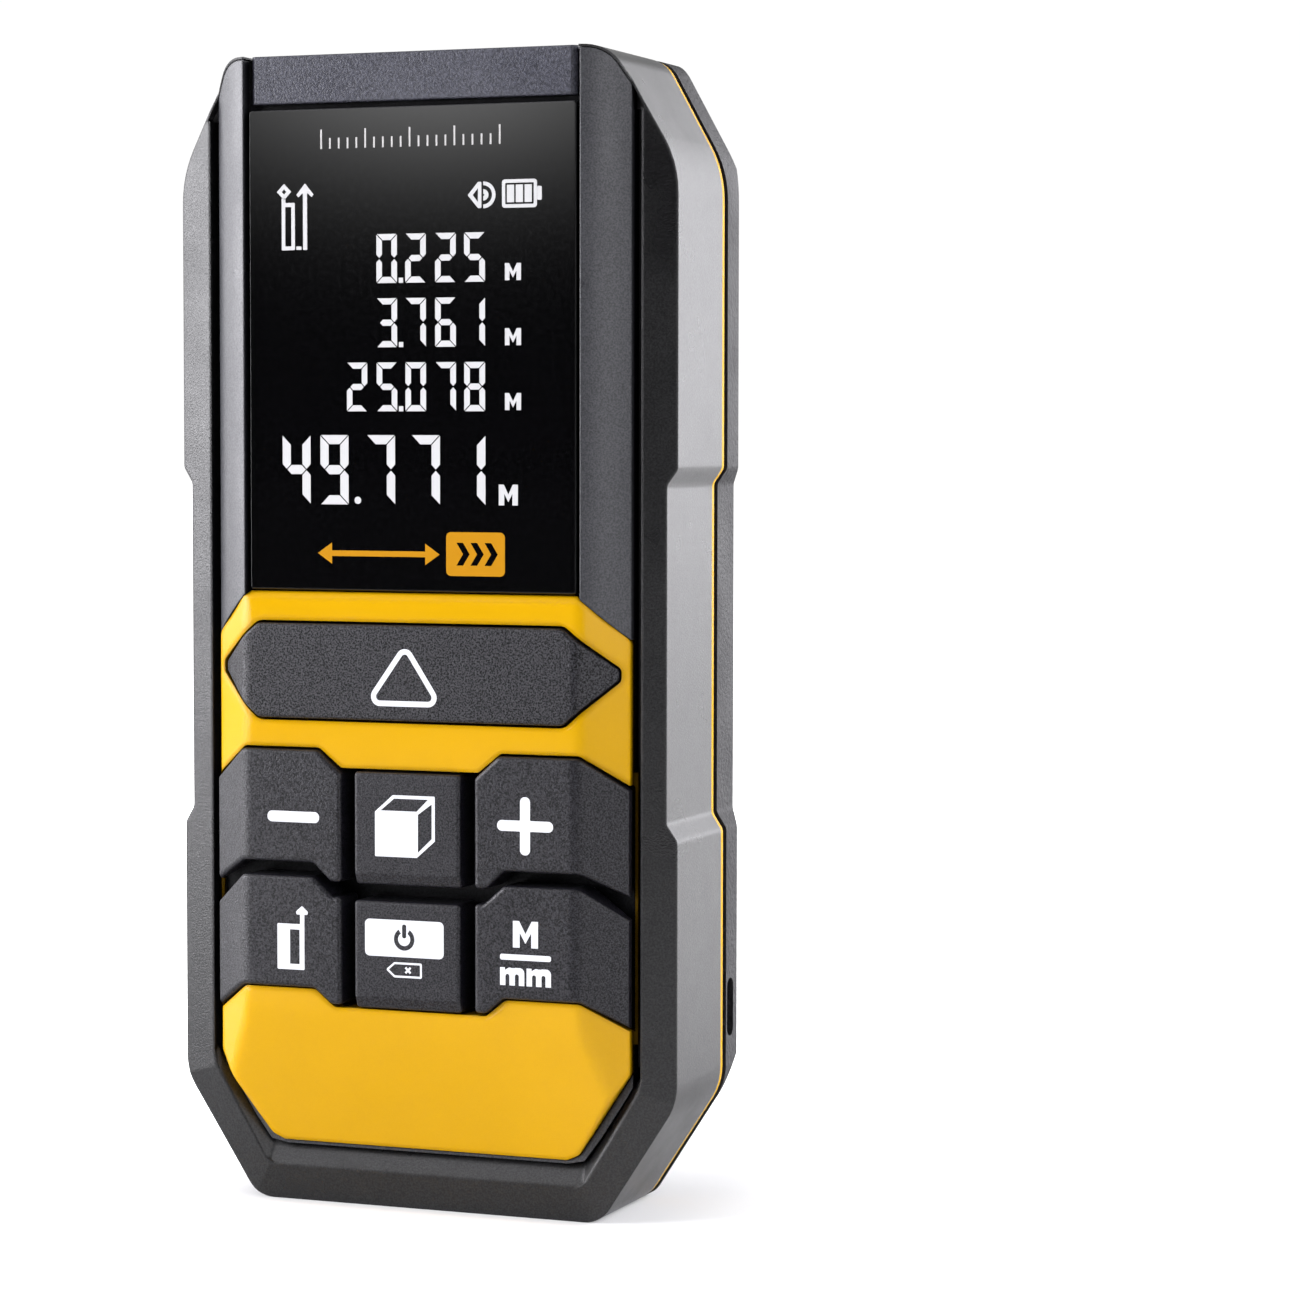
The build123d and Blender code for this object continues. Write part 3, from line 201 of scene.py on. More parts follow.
def moulded(name, base, rough, grain=0.16, grain_depth=0.006, tint=0.12, blotch=0.05, rough_var=0.06, coarse=None, edge=0.0,
            speck=0.0, speck_size=0.12, spec=0.5, stretch=None, painted_gap_shade=None, contrast=0.2,
            sparkle=0.0, painted_depth_shade=None, **more):
    """Moulded plastic or paint: fine grain in bump and colour, slow variation in colour and gloss, and optional painted
    shade in narrow gaps and in recesses.
    """
    t = Tree(name)
    fine = t.noise(grain, 2.5, 0.62, stretch)
    slow = t.noise(9.0, 3.0, 0.55, offset=3.1)
    c = Vector(base)
    shade = t.ramp(fine, [(0.5 - contrast, tuple(c * (1 - tint))), (0.5 + contrast, tuple(c * (1 + tint)))])
    drift = t.ramp(slow, [(0.35, 1 - blotch), (0.65, 1 + blotch * 0.5)])
    colour = t.mix("MULTIPLY", 1.0, (shade, "Color"), (drift, "Color"))
    last = (colour, 2)
    if speck:
        dots = t.add("ShaderNodeTexVoronoi", feature="F1")
        dots.inputs["Scale"].default_value = 1 / speck_size
        t.link(t.mm, "Vector", dots, "Vector")
        pick = t.ramp(dots, [(0.0, 1.0), (0.22, 0.0)], "Distance")
        some = t.ramp(t.noise(speck_size * 2.3, 0.0, offset=7.7), [(0.56, 0.0), (0.66, 1.0)])
        mask = t.mix("MULTIPLY", 1.0, (pick, "Color"), (some, "Color"))
        light = t.mix("ADD", (mask, 2), last, tuple(Vector((1, 1, 1.03)) * speck))
        last = (light, 2)
    if painted_gap_shade:
        # painted shade: ambient occlusion darkens the base colour in narrow gaps and inner corners
        reach, dark = painted_gap_shade  # narrow gaps and inner corners go darker
        open_ = t.add("ShaderNodeAmbientOcclusion", samples=8)
        open_.inputs["Distance"].default_value = reach * MM
        shade_in_gaps = t.ramp(open_, [(0.42, dark), (0.80, 1.0)], "AO")
        last = (t.mix("MULTIPLY", 1.0, last, (shade_in_gaps, "Color")), 2)
    if painted_depth_shade:
        # painted shade: the base colour darkens to dim wherever the surface lies further back than where, down in a
        # slot
        where, dim = painted_depth_shade  # anything that lies further back than this (mm) is down in a slot
        axes = t.add("ShaderNodeSeparateXYZ")
        t.link(t.mm, "Vector", axes, "Vector")
        shade_by_depth = t.add("ShaderNodeMapRange")
        for k, v in (("From Min", where), ("From Max", where + 0.15), ("To Min", 1.0), ("To Max", dim)):
            shade_by_depth.inputs[k].default_value = v
        t.link(axes, "Y", shade_by_depth, "Value")
        last = (t.mix("MULTIPLY", 1.0, last, (shade_by_depth, "Result")), 2)
    t.nt.links.new(last[0].outputs[last[1]], t.bsdf.inputs["Base Color"])
    r = t.ramp(slow, [(0.3, max(rough - rough_var, 0.02)), (0.7, min(rough + rough_var, 1.0))])
    t.link(r, "Color", t.bsdf, "Roughness")
    first = t.soft_edge(edge) if edge else None
    b = t.bump(fine, "Fac", grain_depth, first)
    if coarse:
        size, depth = coarse
        rough_noise = t.noise(size, 2.0, 0.6, offset=5.3)
        b = t.bump(rough_noise, "Fac", depth, b)
    t.link(b, "Normal", t.bsdf, "Normal")
    t.set(Specular_IOR_Level=spec, **more)
    # the painted gap shade and depth shade also scale down the specular level; sparkle varies it with the grain
    if painted_gap_shade or sparkle:
        level = (t.ramp(open_, [(0.42, dark), (0.80, 1.0)], "AO"), "Color") if painted_gap_shade else (t.ramp(slow, [(0.0, 1.0), (1.0, 1.0)]), "Color")
        if sparkle:
            level = (t.math("MULTIPLY", level, (t.ramp(fine, [(0.38, 1 - sparkle), (0.62, 1 + sparkle)]), "Color")), "Value")
        if painted_depth_shade:
            level = (t.math("MULTIPLY", level, (shade_by_depth, "Result")), "Value")
        t.nt.links.new(t.math("MULTIPLY", level, spec).outputs[0], t.bsdf.inputs["Specular IOR Level"])
    return t.mat


def metal(name, base, rough, grain=0.25, depth=0.002, stretch=(1, 1, 12)):
    t = Tree(name)
    fine = t.noise(grain, 3.0, 0.6, stretch)
    slow = t.noise(3.0, 2.0, 0.5, offset=2.2)
    c = Vector(base)
    shade = t.ramp(fine, [(0.3, tuple(c * 0.85)), (0.7, tuple(c * 1.08))])
    t.link(shade, "Color", t.bsdf, "Base Color")
    r = t.ramp(slow, [(0.3, rough * 0.75), (0.7, rough * 1.3)])
    t.link(r, "Color", t.bsdf, "Roughness")
    b = t.bump(fine, "Fac", depth)
    t.link(b, "Normal", t.bsdf, "Normal")
    t.set(Metallic=1.0)
    return t.mat


def printed(name, base, rough=0.5, glow=0.0, spec=0.5):
    """Pad print or a lit display segment."""
    t = Tree(name)
    fine = t.noise(0.09, 2.0, 0.6)
    c = Vector(base)
    shade = t.ramp(fine, [(0.25, tuple(c * 0.955)), (0.75, tuple(min(v * 1.02, 1.0) for v in c))])
    t.link(shade, "Color", t.bsdf, "Base Color")
    r = t.ramp(fine, [(0.3, rough * 0.85), (0.7, min(rough * 1.15, 1))])
    t.link(r, "Color", t.bsdf, "Roughness")
    b = t.bump(fine, "Fac", 0.0015)
    t.link(b, "Normal", t.bsdf, "Normal")
    t.set(Specular_IOR_Level=spec)
    if glow:
        t.link(shade, "Color", t.bsdf, "Emission Color")
        t.set(Emission_Strength=glow)
    return t.mat


M = {}
M["bumper_grey"] = moulded("bumper_grey", (0.0070, 0.0070, 0.0074), 0.31, grain=0.19, grain_depth=0.024, tint=0.4, contrast=0.14, sparkle=0.12, blotch=0.08,
                           edge=0.42)
M["rear_textured"] = moulded("rear_textured", (0.0075, 0.0068, 0.0085), 0.62, grain=0.22, grain_depth=0.03, tint=0.35, coarse=(0.5, 0.16),
                             speck=0.03, speck_size=0.35, blotch=0.1, spec=0.32)
# painted shade: the yellow darkens in narrow gaps and wherever it lies further back than y = -9.75 mm; the seam ring's
# copy leaves out the depth shade
M["yellow"] = moulded("yellow_plastic", (0.630, 0.341, 0.0011), 0.15, spec=0.235, grain=0.1, grain_depth=0.0012, tint=0.03, blotch=0.02, rough_var=0.02,
                      edge=0.9, painted_gap_shade=(1.6, 0.22), painted_depth_shade=(-9.75, 0.22))
M["yellow_ring"] = moulded("yellow_ring_plastic", (0.630, 0.341, 0.0011), 0.15, spec=0.235, grain=0.1, grain_depth=0.0012, tint=0.03, blotch=0.02, rough_var=0.02,
                      edge=0.9, painted_gap_shade=(1.6, 0.22))
# painted shade: the bezel grey darkens in narrow gaps and wherever it lies further back than y = -9.6 mm
M["bezel_grey"] = moulded("bezel_grey", (0.040, 0.0408, 0.046), 0.32, grain=0.18, grain_depth=0.018, tint=0.3, contrast=0.12, edge=0.26,
                          painted_gap_shade=(1.3, 0.12), sparkle=0.15, painted_depth_shade=(-9.6, 0.2))
M["bar_grey"] = moulded("bar_grey", (0.044, 0.045, 0.060), 0.36, grain=0.2, grain_depth=0.04, tint=0.4, contrast=0.14, edge=0.24, sparkle=0.15)
M["black_rubber"] = moulded("black_rubber", (0.010, 0.010, 0.011), 0.75, grain=0.2, grain_depth=0.008, spec=0.2)
M["black_plastic"] = moulded("black_plastic", (0.014, 0.014, 0.015), 0.55, grain=0.15, grain_depth=0.006, spec=0.35)
M["cover_black"] = moulded("cover_black", (0.012, 0.012, 0.014), 0.38, grain=0.15, grain_depth=0.004, edge=0.12)
M["key_grey"] = moulded("key_rubber", (0.0076, 0.0072, 0.0104), 0.385, grain=0.165, grain_depth=0.045, tint=0.8, contrast=0.10, sparkle=0.36,
                        blotch=0.05, spec=0.40, edge=0.22)
M["key_coarse"] = moulded("key_rubber_coarse", (0.0090, 0.0086, 0.0118), 0.41, grain=0.175, grain_depth=0.06, tint=0.9, contrast=0.08, sparkle=0.58,
                          blotch=0.05, spec=0.37, edge=0.22)
M["white_plastic"] = moulded("white_plastic", (0.72, 0.72, 0.70), 0.45, grain=0.2, grain_depth=0.003, tint=0.03)
M["die_cast"] = moulded("die_cast", (0.20, 0.20, 0.21), 0.45, grain=0.25, grain_depth=0.01, tint=0.15, Metallic=0.8)
M["steel"] = metal("spring_steel", (0.62, 0.61, 0.58), 0.28)
M["screw"] = metal("screw_steel", (0.26, 0.26, 0.27), 0.34)
M["brass"] = metal("brass", (0.70, 0.50, 0.22), 0.3)


def window_glass():
    """Black display window: polished, with the faintest ripple and dust."""
    t = Tree("window_black")
    slow = t.noise(18.0, 1.0, 0.4)
    dust = t.noise(0.5, 3.0, 0.7, offset=2.0)
    r = t.ramp(dust, [(0.45, 0.045), (0.75, 0.09)])
    t.link(r, "Color", t.bsdf, "Roughness")
    shade = t.ramp(dust, [(0.4, (0.0012, 0.0012, 0.0014)), (0.8, (0.0030, 0.0030, 0.0034))])
    t.link(shade, "Color", t.bsdf, "Base Color")
    b = t.bump(slow, "Fac", 0.0006, t.soft_edge(0.14))
    t.link(b, "Normal", t.bsdf, "Normal")
    t.set(IOR=1.5)
    return t.mat


def lens_glass(name, tint, rough):
    t = Tree(name)
    slow = t.noise(2.0, 1.0, 0.4)
    shade = t.ramp(slow, [(0.3, tuple(Vector(tint) * 0.8)), (0.7, tint)])
    t.link(shade, "Color", t.bsdf, "Base Color")
    r = t.ramp(slow, [(0.3, rough), (0.7, rough * 1.6)])
    t.link(r, "Color", t.bsdf, "Roughness")
    t.set(IOR=1.52, Coat_Weight=1.0, Coat_Roughness=0.03, Coat_Tint=(0.75, 0.8, 1.0), Specular_Tint=(0.8, 0.85, 1.0))
    return t.mat


M["window_black"] = window_glass()
M["lens"] = lens_glass("coated_lens", (0.05, 0.012, 0.03), 0.03)
M["lcd"] = lens_glass("lcd_glass", (0.006, 0.007, 0.008), 0.12)


def board_mat():
    t = Tree("board_green")
    fine = t.noise(0.3, 3.0, 0.6)
    tracks = t.add("ShaderNodeTexBrick")
    tracks.inputs["Scale"].default_value = 1.0
    tracks.inputs["Color1"].default_value = (0.012, 0.075, 0.03, 1)
    tracks.inputs["Color2"].default_value = (0.016, 0.095, 0.038, 1)
    tracks.inputs["Mortar"].default_value = (0.03, 0.14, 0.06, 1)
    tracks.inputs["Mortar Size"].default_value = 0.05
    t.link(t.mm, "Vector", tracks, "Vector")
    shade = t.ramp(fine, [(0.3, 0.85), (0.7, 1.1)])
    colour = t.mix("MULTIPLY", 1.0, (tracks, "Color"), (shade, "Color"))
    t.nt.links.new(colour.outputs[2], t.bsdf.inputs["Base Color"])
    b = t.bump(tracks, "Fac", 0.02)
    t.link(b, "Normal", t.bsdf, "Normal")
    r = t.ramp(fine, [(0.3, 0.28), (0.7, 0.4)])
    t.link(r, "Color", t.bsdf, "Roughness")
    return t.mat


def cell_mat():
    """Plain shrink-wrapped cell: black sleeve with a copper-coloured upper band along its length."""
    t = Tree("cell_sleeve")
    b0, b1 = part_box("cell_left")
    sep = t.add("ShaderNodeSeparateXYZ")
    t.link(t.mm, "Vector", sep, "Vector")
    place = t.add("ShaderNodeMapRange")
    place.inputs["From Min"].default_value = b0.z * 1000
    place.inputs["From Max"].default_value = b1.z * 1000
    t.link(sep, "Z", place, "Value")
    sleeve = t.ramp(place, [(0.0, (0.55, 0.54, 0.52)), (0.018, (0.012, 0.012, 0.013)), (0.70, (0.012, 0.012, 0.013)),
                            (0.702, (0.50, 0.22, 0.08)), (0.962, (0.50, 0.22, 0.08)), (0.968, (0.62, 0.61, 0.58))], "Result")
    sleeve.color_ramp.interpolation = "CONSTANT"
    fine = t.noise(0.4, 2.0, 0.6)
    shade = t.ramp(fine, [(0.3, 0.9), (0.7, 1.08)])
    colour = t.mix("MULTIPLY", 1.0, (sleeve, "Color"), (shade, "Color"))
    t.nt.links.new(colour.outputs[2], t.bsdf.inputs["Base Color"])
    metal_part = t.ramp(place, [(0.0, 1.0), (0.018, 0.0), (0.702, 0.6), (0.968, 1.0)], "Result")
    metal_part.color_ramp.interpolation = "CONSTANT"
    t.link(metal_part, "Color", t.bsdf, "Metallic")
    r = t.ramp(fine, [(0.3, 0.22), (0.7, 0.32)])
    t.link(r, "Color", t.bsdf, "Roughness")
    b = t.bump(fine, "Fac", 0.004)
    t.link(b, "Normal", t.bsdf, "Normal")
    return t.mat


M["board"] = board_mat()
M["cell"] = cell_mat()
# painted light: the key legends glow faintly (emission 0.04) though they are unlit print
M["legend"] = printed("legend_white", (0.74, 0.75, 0.79), 0.5, 0.04)
M["segment"] = printed("display_segment", (0.53, 0.53, 0.535), 0.45, 0.10)
M["segment_dim"] = printed("display_mark", (0.50, 0.49, 0.48), 0.45, 0.04)
M["amber"] = printed("display_amber", (0.47, 0.212, 0.002), 0.5, 0.05, spec=0.10)

# every carried-over CAD node keeps its mesh and gets its finish; the large button has the coarser grain of the set
for name, obj in nodes.items():
    slot_name = obj.material_slots[0].material.name.split(".")[0]
    if slot_name in M:
        for s in obj.material_slots:
            s.material = M[{"measure_button": "key_coarse", "seam_ring": "yellow_ring"}.get(name, slot_name)]


# ---------------------------------------------------------------- printed and lit marks, as thin plates
def arc(cx, cz, r, a0, a1, n=12):
    """Points on an arc, degrees, in the front view (x right, z up)."""
    return [(cx + r * math.cos(math.radians(a0 + (a1 - a0) * i / n)), cz + r * math.sin(math.radians(a0 + (a1 - a0) * i / n)))
            for i in range(n + 1)]


def box_path(x0, z0, x1, z1, r=0.0, n=6):
    if r <= 0:
        return [(x0, z0), (x1, z0), (x1, z1), (x0, z1)]
    return (arc(x1 - r, z0 + r, r, -90, 0, n) + arc(x1 - r, z1 - r, r, 0, 90, n) + arc(x0 + r, z1 - r, r, 90, 180, n)
            + arc(x0 + r, z0 + r, r, 180, 270, n))


def rounded(points, r, n=6):
    """A polygon with every corner rounded by r (a number or one per corner)."""
    out = []
    k = len(points)
    for i, p in enumerate(points):
        ri = r[i] if hasattr(r, "__len__") else r
        p = Vector(p)
        a = (Vector(points[i - 1]) - p)
        b = (Vector(points[(i + 1) % k]) - p)
        half = a.angle(b) / 2
        cut = min(ri / math.tan(half), a.length * 0.49, b.length * 0.49)
        r_real = cut * math.tan(half)
        if ri <= 0 or r_real < 1e-6:
            out.append(tuple(p))
            continue
        a.normalize(), b.normalize()
        c = p + (a + b).normalized() * (r_real / math.sin(half))
        s, e = p + a * cut - c, p + b * cut - c
        a0, a1 = math.atan2(s.y, s.x), math.atan2(e.y, e.x)
        while a1 - a0 > math.pi:
            a1 -= 2 * math.pi
        while a1 - a0 < -math.pi:
            a1 += 2 * math.pi
        out += [(c.x + r_real * math.cos(a0 + (a1 - a0) * j / n), c.y + r_real * math.sin(a0 + (a1 - a0) * j / n)) for j in range(n + 1)]
    return out


def inset(points, d):
    """A convex polygon moved inwards by d, counter-clockwise points."""
    out = []
    k = len(points)
    for i, p in enumerate(points):
        p, a, b = Vector(p), Vector(points[i - 1]), Vector(points[(i + 1) % k])
        u, v = (p - a).normalized(), (b - p).normalized()
        n1, n2 = Vector((-u.y, u.x)), Vector((-v.y, v.x))
        m = (n1 + n2) / (1 + n1.dot(n2))
        out.append(tuple(p + m * d))
    return out


def bar(x0, z0, x1, z1, w, cap=None):
    """A straight stroke of width w with rounded ends."""
    a, b = Vector((x0, z0)), Vector((x1, z1))
    u = (b - a).normalized()
    n = Vector((-u.y, u.x)) * w / 2
    pts = [tuple(a + n), tuple(a - n), tuple(b - n), tuple(b + n)]
    return rounded(pts, w / 2 * (1.0 if cap is None else cap)) if cap != 0 else pts


def plate(name, loops, node, material, thick=0.008, sink=0.02, at=None, body=None, bevel=True):
    """A thin plate on a node's front face. loops are closed outlines in millimetres measured from the face's centre; an outline
    inside another is a hole. at = (x, z) centre and y front in metres, taken from the node's box when it isn't given."""
    b0, b1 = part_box(node)
    cx, cz, fy = at if at else ((b0.x + b1.x) / 2, (b0.z + b1.z) / 2, b0.y)
    curve = bpy.data.curves.new(name + "_outline", "CURVE")
    curve.dimensions, curve.fill_mode = "2D", "BOTH"
    for loop in loops:
        s = curve.splines.new("POLY")
        s.points.add(len(loop) - 1)
        for p, (x, z) in zip(s.points, loop):
            p.co = (x * MM, z * MM, 0, 1)
        s.use_cyclic_u = True
    curve.extrude = (thick + sink) * MM / 2
    tmp = bpy.data.objects.new(name + "_tmp", curve)
    scene.collection.objects.link(tmp)
    bpy.context.view_layer.update()
    mesh = bpy.data.meshes.new_from_object(tmp.evaluated_get(bpy.context.evaluated_depsgraph_get()))
    bpy.data.objects.remove(tmp)
    bpy.data.curves.remove(curve)
    mesh.name = name
    # local x, y, z become row x, z, -y
    mesh.transform(Matrix.Translation((cx, fy + (sink - thick) * MM / 2, cz)) @ Matrix.Rotation(math.radians(90), 4, "X"))
    bm = bmesh.new()
    bm.from_mesh(mesh)
    bmesh.ops.remove_doubles(bm, verts=bm.verts, dist=1e-7)
    bmesh.ops.recalc_face_normals(bm, faces=bm.faces)
    bm.to_mesh(mesh)
    bm.free()
    mesh.materials.clear()
    mesh.materials.append(material)
    obj = bpy.data.objects.new(name, mesh)
    scene.collection.objects.link(obj)
    for f in mesh.polygons:
        f.use_smooth = False
    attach(obj, body or nodes[node]["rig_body"])
    return obj


# ---- key legends (offsets from each key's centre)
def legends():
    white = M["legend"]
    tri = [(-4.78, -3.27), (4.04, -3.27), (-0.17, 3.15)]
    tri_in = inset(tri, 0.55)
    plate("legend_measure", [rounded(tri, 0.95, 10), rounded(tri_in, 0.40, 10)], "measure_button", white,
          at=key_face("measure_button", 0.0, 0.0))
    plate("legend_minus", [rounded([(-2.86, -0.55), (2.86, -0.55), (2.86, 0.55), (-2.86, 0.55)], 0.50)], "minus_key", white,
          at=key_face("minus_key", 2.34, 0.13))
    a, b = 2.96, 0.53
    c = 2.85
    cross = [(-b, b), (-a, b), (-a, -b), (-b, -b), (-b, -c), (b, -c), (b, -b), (a, -b), (a, b), (b, b), (b, c), (-b, c)]
    radii = [0.1, 0.5, 0.5, 0.1, 0.5, 0.5, 0.1, 0.5, 0.5, 0.1, 0.5, 0.5]
    plate("legend_plus", [rounded(cross, radii)], "plus_key", white, at=key_face("plus_key", -2.09, 0.14))
    # volume symbol: filled front face, outlined top and side
    s = 0.34
    fx0, fz0, fx1, fz1 = -3.41, -2.71, 1.13, 1.72
    dx, dz = 1.95, 1.70
    front = [(fx0, fz0), (fx1, fz0), (fx1, fz1), (fx0, fz1)]
    hull = [(fx0, fz0), (fx1, fz0), (fx1 + dx, fz0 + dz), (fx1 + dx, fz1 + dz), (fx0 + dx, fz1 + dz), (fx0, fz1)]
    top = [(fx0 + 0.62, fz1 + 0.14), (fx1 - 0.02, fz1 + 0.14), (fx1 + dx - 0.74, fz1 + dz - s), (fx0 + dx + 0.14, fz1 + dz - s)]
    side = [(fx1 + 0.12, fz0 + 0.52), (fx1 + dx - s, fz0 + dz + 0.22), (fx1 + dx - s, fz1 + dz - 0.78), (fx1 + 0.12, fz1 - 0.16)]
    plate("legend_volume", [rounded(hull, 0.12), top, side], "function_key", white, at=key_face("function_key", 0, 0))
    # reference-edge symbol: an upright box, half filled, with an arrow
    shape = rounded([(-1.50, -2.29), (1.50, -2.29), (1.50, 3.26), (1.88, 3.26), (1.88, 3.58), (1.24, 4.14), (0.60, 3.58), (0.60, 3.26),
                     (1.02, 3.26), (1.02, 2.30), (-1.50, 2.30)],
                    [0.12, 0.12, 0.05, 0.14, 0.1, 0.12, 0.1, 0.14, 0.05, 0.05, 0.12], 4)
    plate("legend_reference", [shape, box_path(-0.10, -1.72, 0.96, 1.74, 0.05, 2)], "reference_key", white,
          at=key_face("reference_key", 2.03, -0.19))
    # off: a badge with the usual standby sign; clear: an erase sign below it
    ring = arc(0, 0, 1.12, 122, 418, 28)
    ring_in = [(x * 0.66 / 1.12, z * 0.66 / 1.12) for x, z in reversed(ring)]
    stand_by = [(x, z - 0.06) for x, z in ring + ring_in]
    stem = box_path(-0.23, 0.05, 0.23, 1.42, 0.2, 4)
    plate("legend_off", [box_path(-4.27, -1.84, 4.27, 1.84, 0.5), stand_by, stem], "clear_key", white,
          at=key_face("clear_key", -0.26, 1.76))
    erase = [(-1.95, 0.0), (-1.05, -0.76), (1.95, -0.76), (1.95, 0.76), (-1.05, 0.76)]
    hole = inset(erase, 0.2)
    plate("legend_clear", [rounded(erase, 0.16, 3), rounded(hole, 0.05, 3)], "clear_key", white,
          at=key_face("clear_key", -0.30, -1.36))
    w, q = 0.11, 0.30
    cross2 = [(0.45 + x, z) for x, z in rotate([(-w, w), (-q * 1.3, w), (-q * 1.3, -w), (-w, -w), (-w, -q * 1.3), (w, -q * 1.3), (w, -w),
                                               (q * 1.3, -w), (q * 1.3, w), (w, w), (w, q * 1.3), (-w, q * 1.3)], 45)]
    plate("legend_clear_cross", [cross2], "clear_key", white, at=key_face("clear_key", -0.30, -1.36))
    # units: metres over millimetres
    loops = [letter_m(-1.33, 0.95, 2.66, 2.62, 0.72)]
    loops += [rounded([(-2.70, -0.30), (2.70, -0.30), (2.70, 0.27), (-2.70, 0.27)], 0.2)]
    loops += [small_m(-2.70, -2.80, 2.58, 1.75, 0.58), small_m(0.12, -2.80, 2.58, 1.75, 0.58)]
    plate("legend_units", loops, "unit_key", white, at=key_face("unit_key", 12.72 - 14.77, 26.62 - 26.63))


def rotate(points, deg):
    c, s = math.cos(math.radians(deg)), math.sin(math.radians(deg))
    return [(x * c - z * s, x * s + z * c) for x, z in points]


def letter_m(x, z, w, h, s):
    """Capital M, the unit metre."""
    return [(x, z), (x + s, z), (x + s, z + h * 0.56), (x + w / 2 - 0.02, z + h * 0.17), (x + w / 2 + 0.02, z + h * 0.17),
            (x + w - s, z + h * 0.56), (x + w - s, z), (x + w, z), (x + w, z + h), (x + w - s * 0.92, z + h),
            (x + w / 2, z + h * 0.52), (x + s * 0.92, z + h), (x, z + h)]


def small_m(x, z, w, h, s):
    """Lower-case m, for millimetre."""
    gap = (w - 3 * s) / 2
    r = 0.5
    out = [(x, z), (x + s, z), (x + s, z + h * 0.52)]
    out += arc(x + s + gap / 2, z + h * 0.52, gap / 2, 180, 0, 6)[1:]
    out += [(x + s + gap, z), (x + 2 * s + gap, z), (x + 2 * s + gap, z + h * 0.52)]
    out += arc(x + 2 * s + gap * 1.5, z + h * 0.52, gap / 2, 180, 0, 6)[1:]
    out += [(x + 2 * s + 2 * gap, z), (x + w, z)]
    out += arc(x + w - r, z + h - r, r, 0, 90, 6)
    out += arc(x + 2 * s + gap + 0.12, z + h - r * 0.9, r * 0.9, 78, 115, 4)
    out += arc(x + s + gap + 0.02, z + h - r * 0.9, r * 0.9, 65, 100, 4)
    out += [(x + s * 0.9, z + h * 0.86), (x + s * 0.9, z + h), (x, z + h)]
    return out


def key_face(node, dx, dz):
    """A point on a key's face, as (x, z, front y), dx and dz millimetres from the key's centre."""
    b0, b1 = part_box(node)
    return (b0.x + b1.x) / 2 + dx * MM, (b0.z + b1.z) / 2 + dz * MM, b0.y


legends()


# ---- display: seven-segment digits and symbols on the window
SEGMENTS = {"0": "abcdef", "1": "bc", "2": "abged", "3": "abgcd", "4": "fgbc", "5": "afgcd", "6": "afgedc", "7": "abc", "8": "abcdefg",
            "9": "abcdfg"}


def digit(ch, x, z, w, h, t, c):
    """Outlines of one seven-segment digit: lower left corner x, z; width, height, stroke and gap in millimetres."""
    m = h / 2
    s = {
        "a": [(c, h), (t + c, h - t), (w - t - c, h - t), (w - c, h)],
        "d": [(c, 0), (w - c, 0), (w - t - c, t), (t + c, t)],
        "f": [(0, h - c), (0, m + t * 0.52 + c), (t * 0.5, m + c), (t, m + t * 0.52 + c), (t, h - t - c)],
        "e": [(0, c), (t, t + c), (t, m - t * 0.52 - c), (t * 0.5, m - c), (0, m - t * 0.52 - c)],
        "b": [(w, h - c), (w - t, h - t - c), (w - t, m + t * 0.52 + c), (w - t * 0.5, m + c), (w, m + t * 0.52 + c)],
        "c": [(w, c), (w, m - t * 0.52 - c), (w - t * 0.5, m - c), (w - t, m - t * 0.52 - c), (w - t, t + c)],
        "g": [(t * 0.5 + c * 1.2, m), (t + c, m - t * 0.5), (w - t - c, m - t * 0.5), (w - t * 0.5 - c * 1.2, m), (w - t - c, m + t * 0.5),
              (t + c, m + t * 0.5)],
    }
    return [[(x + px, z + pz) for px, pz in s[k]] for k in SEGMENTS[ch]]


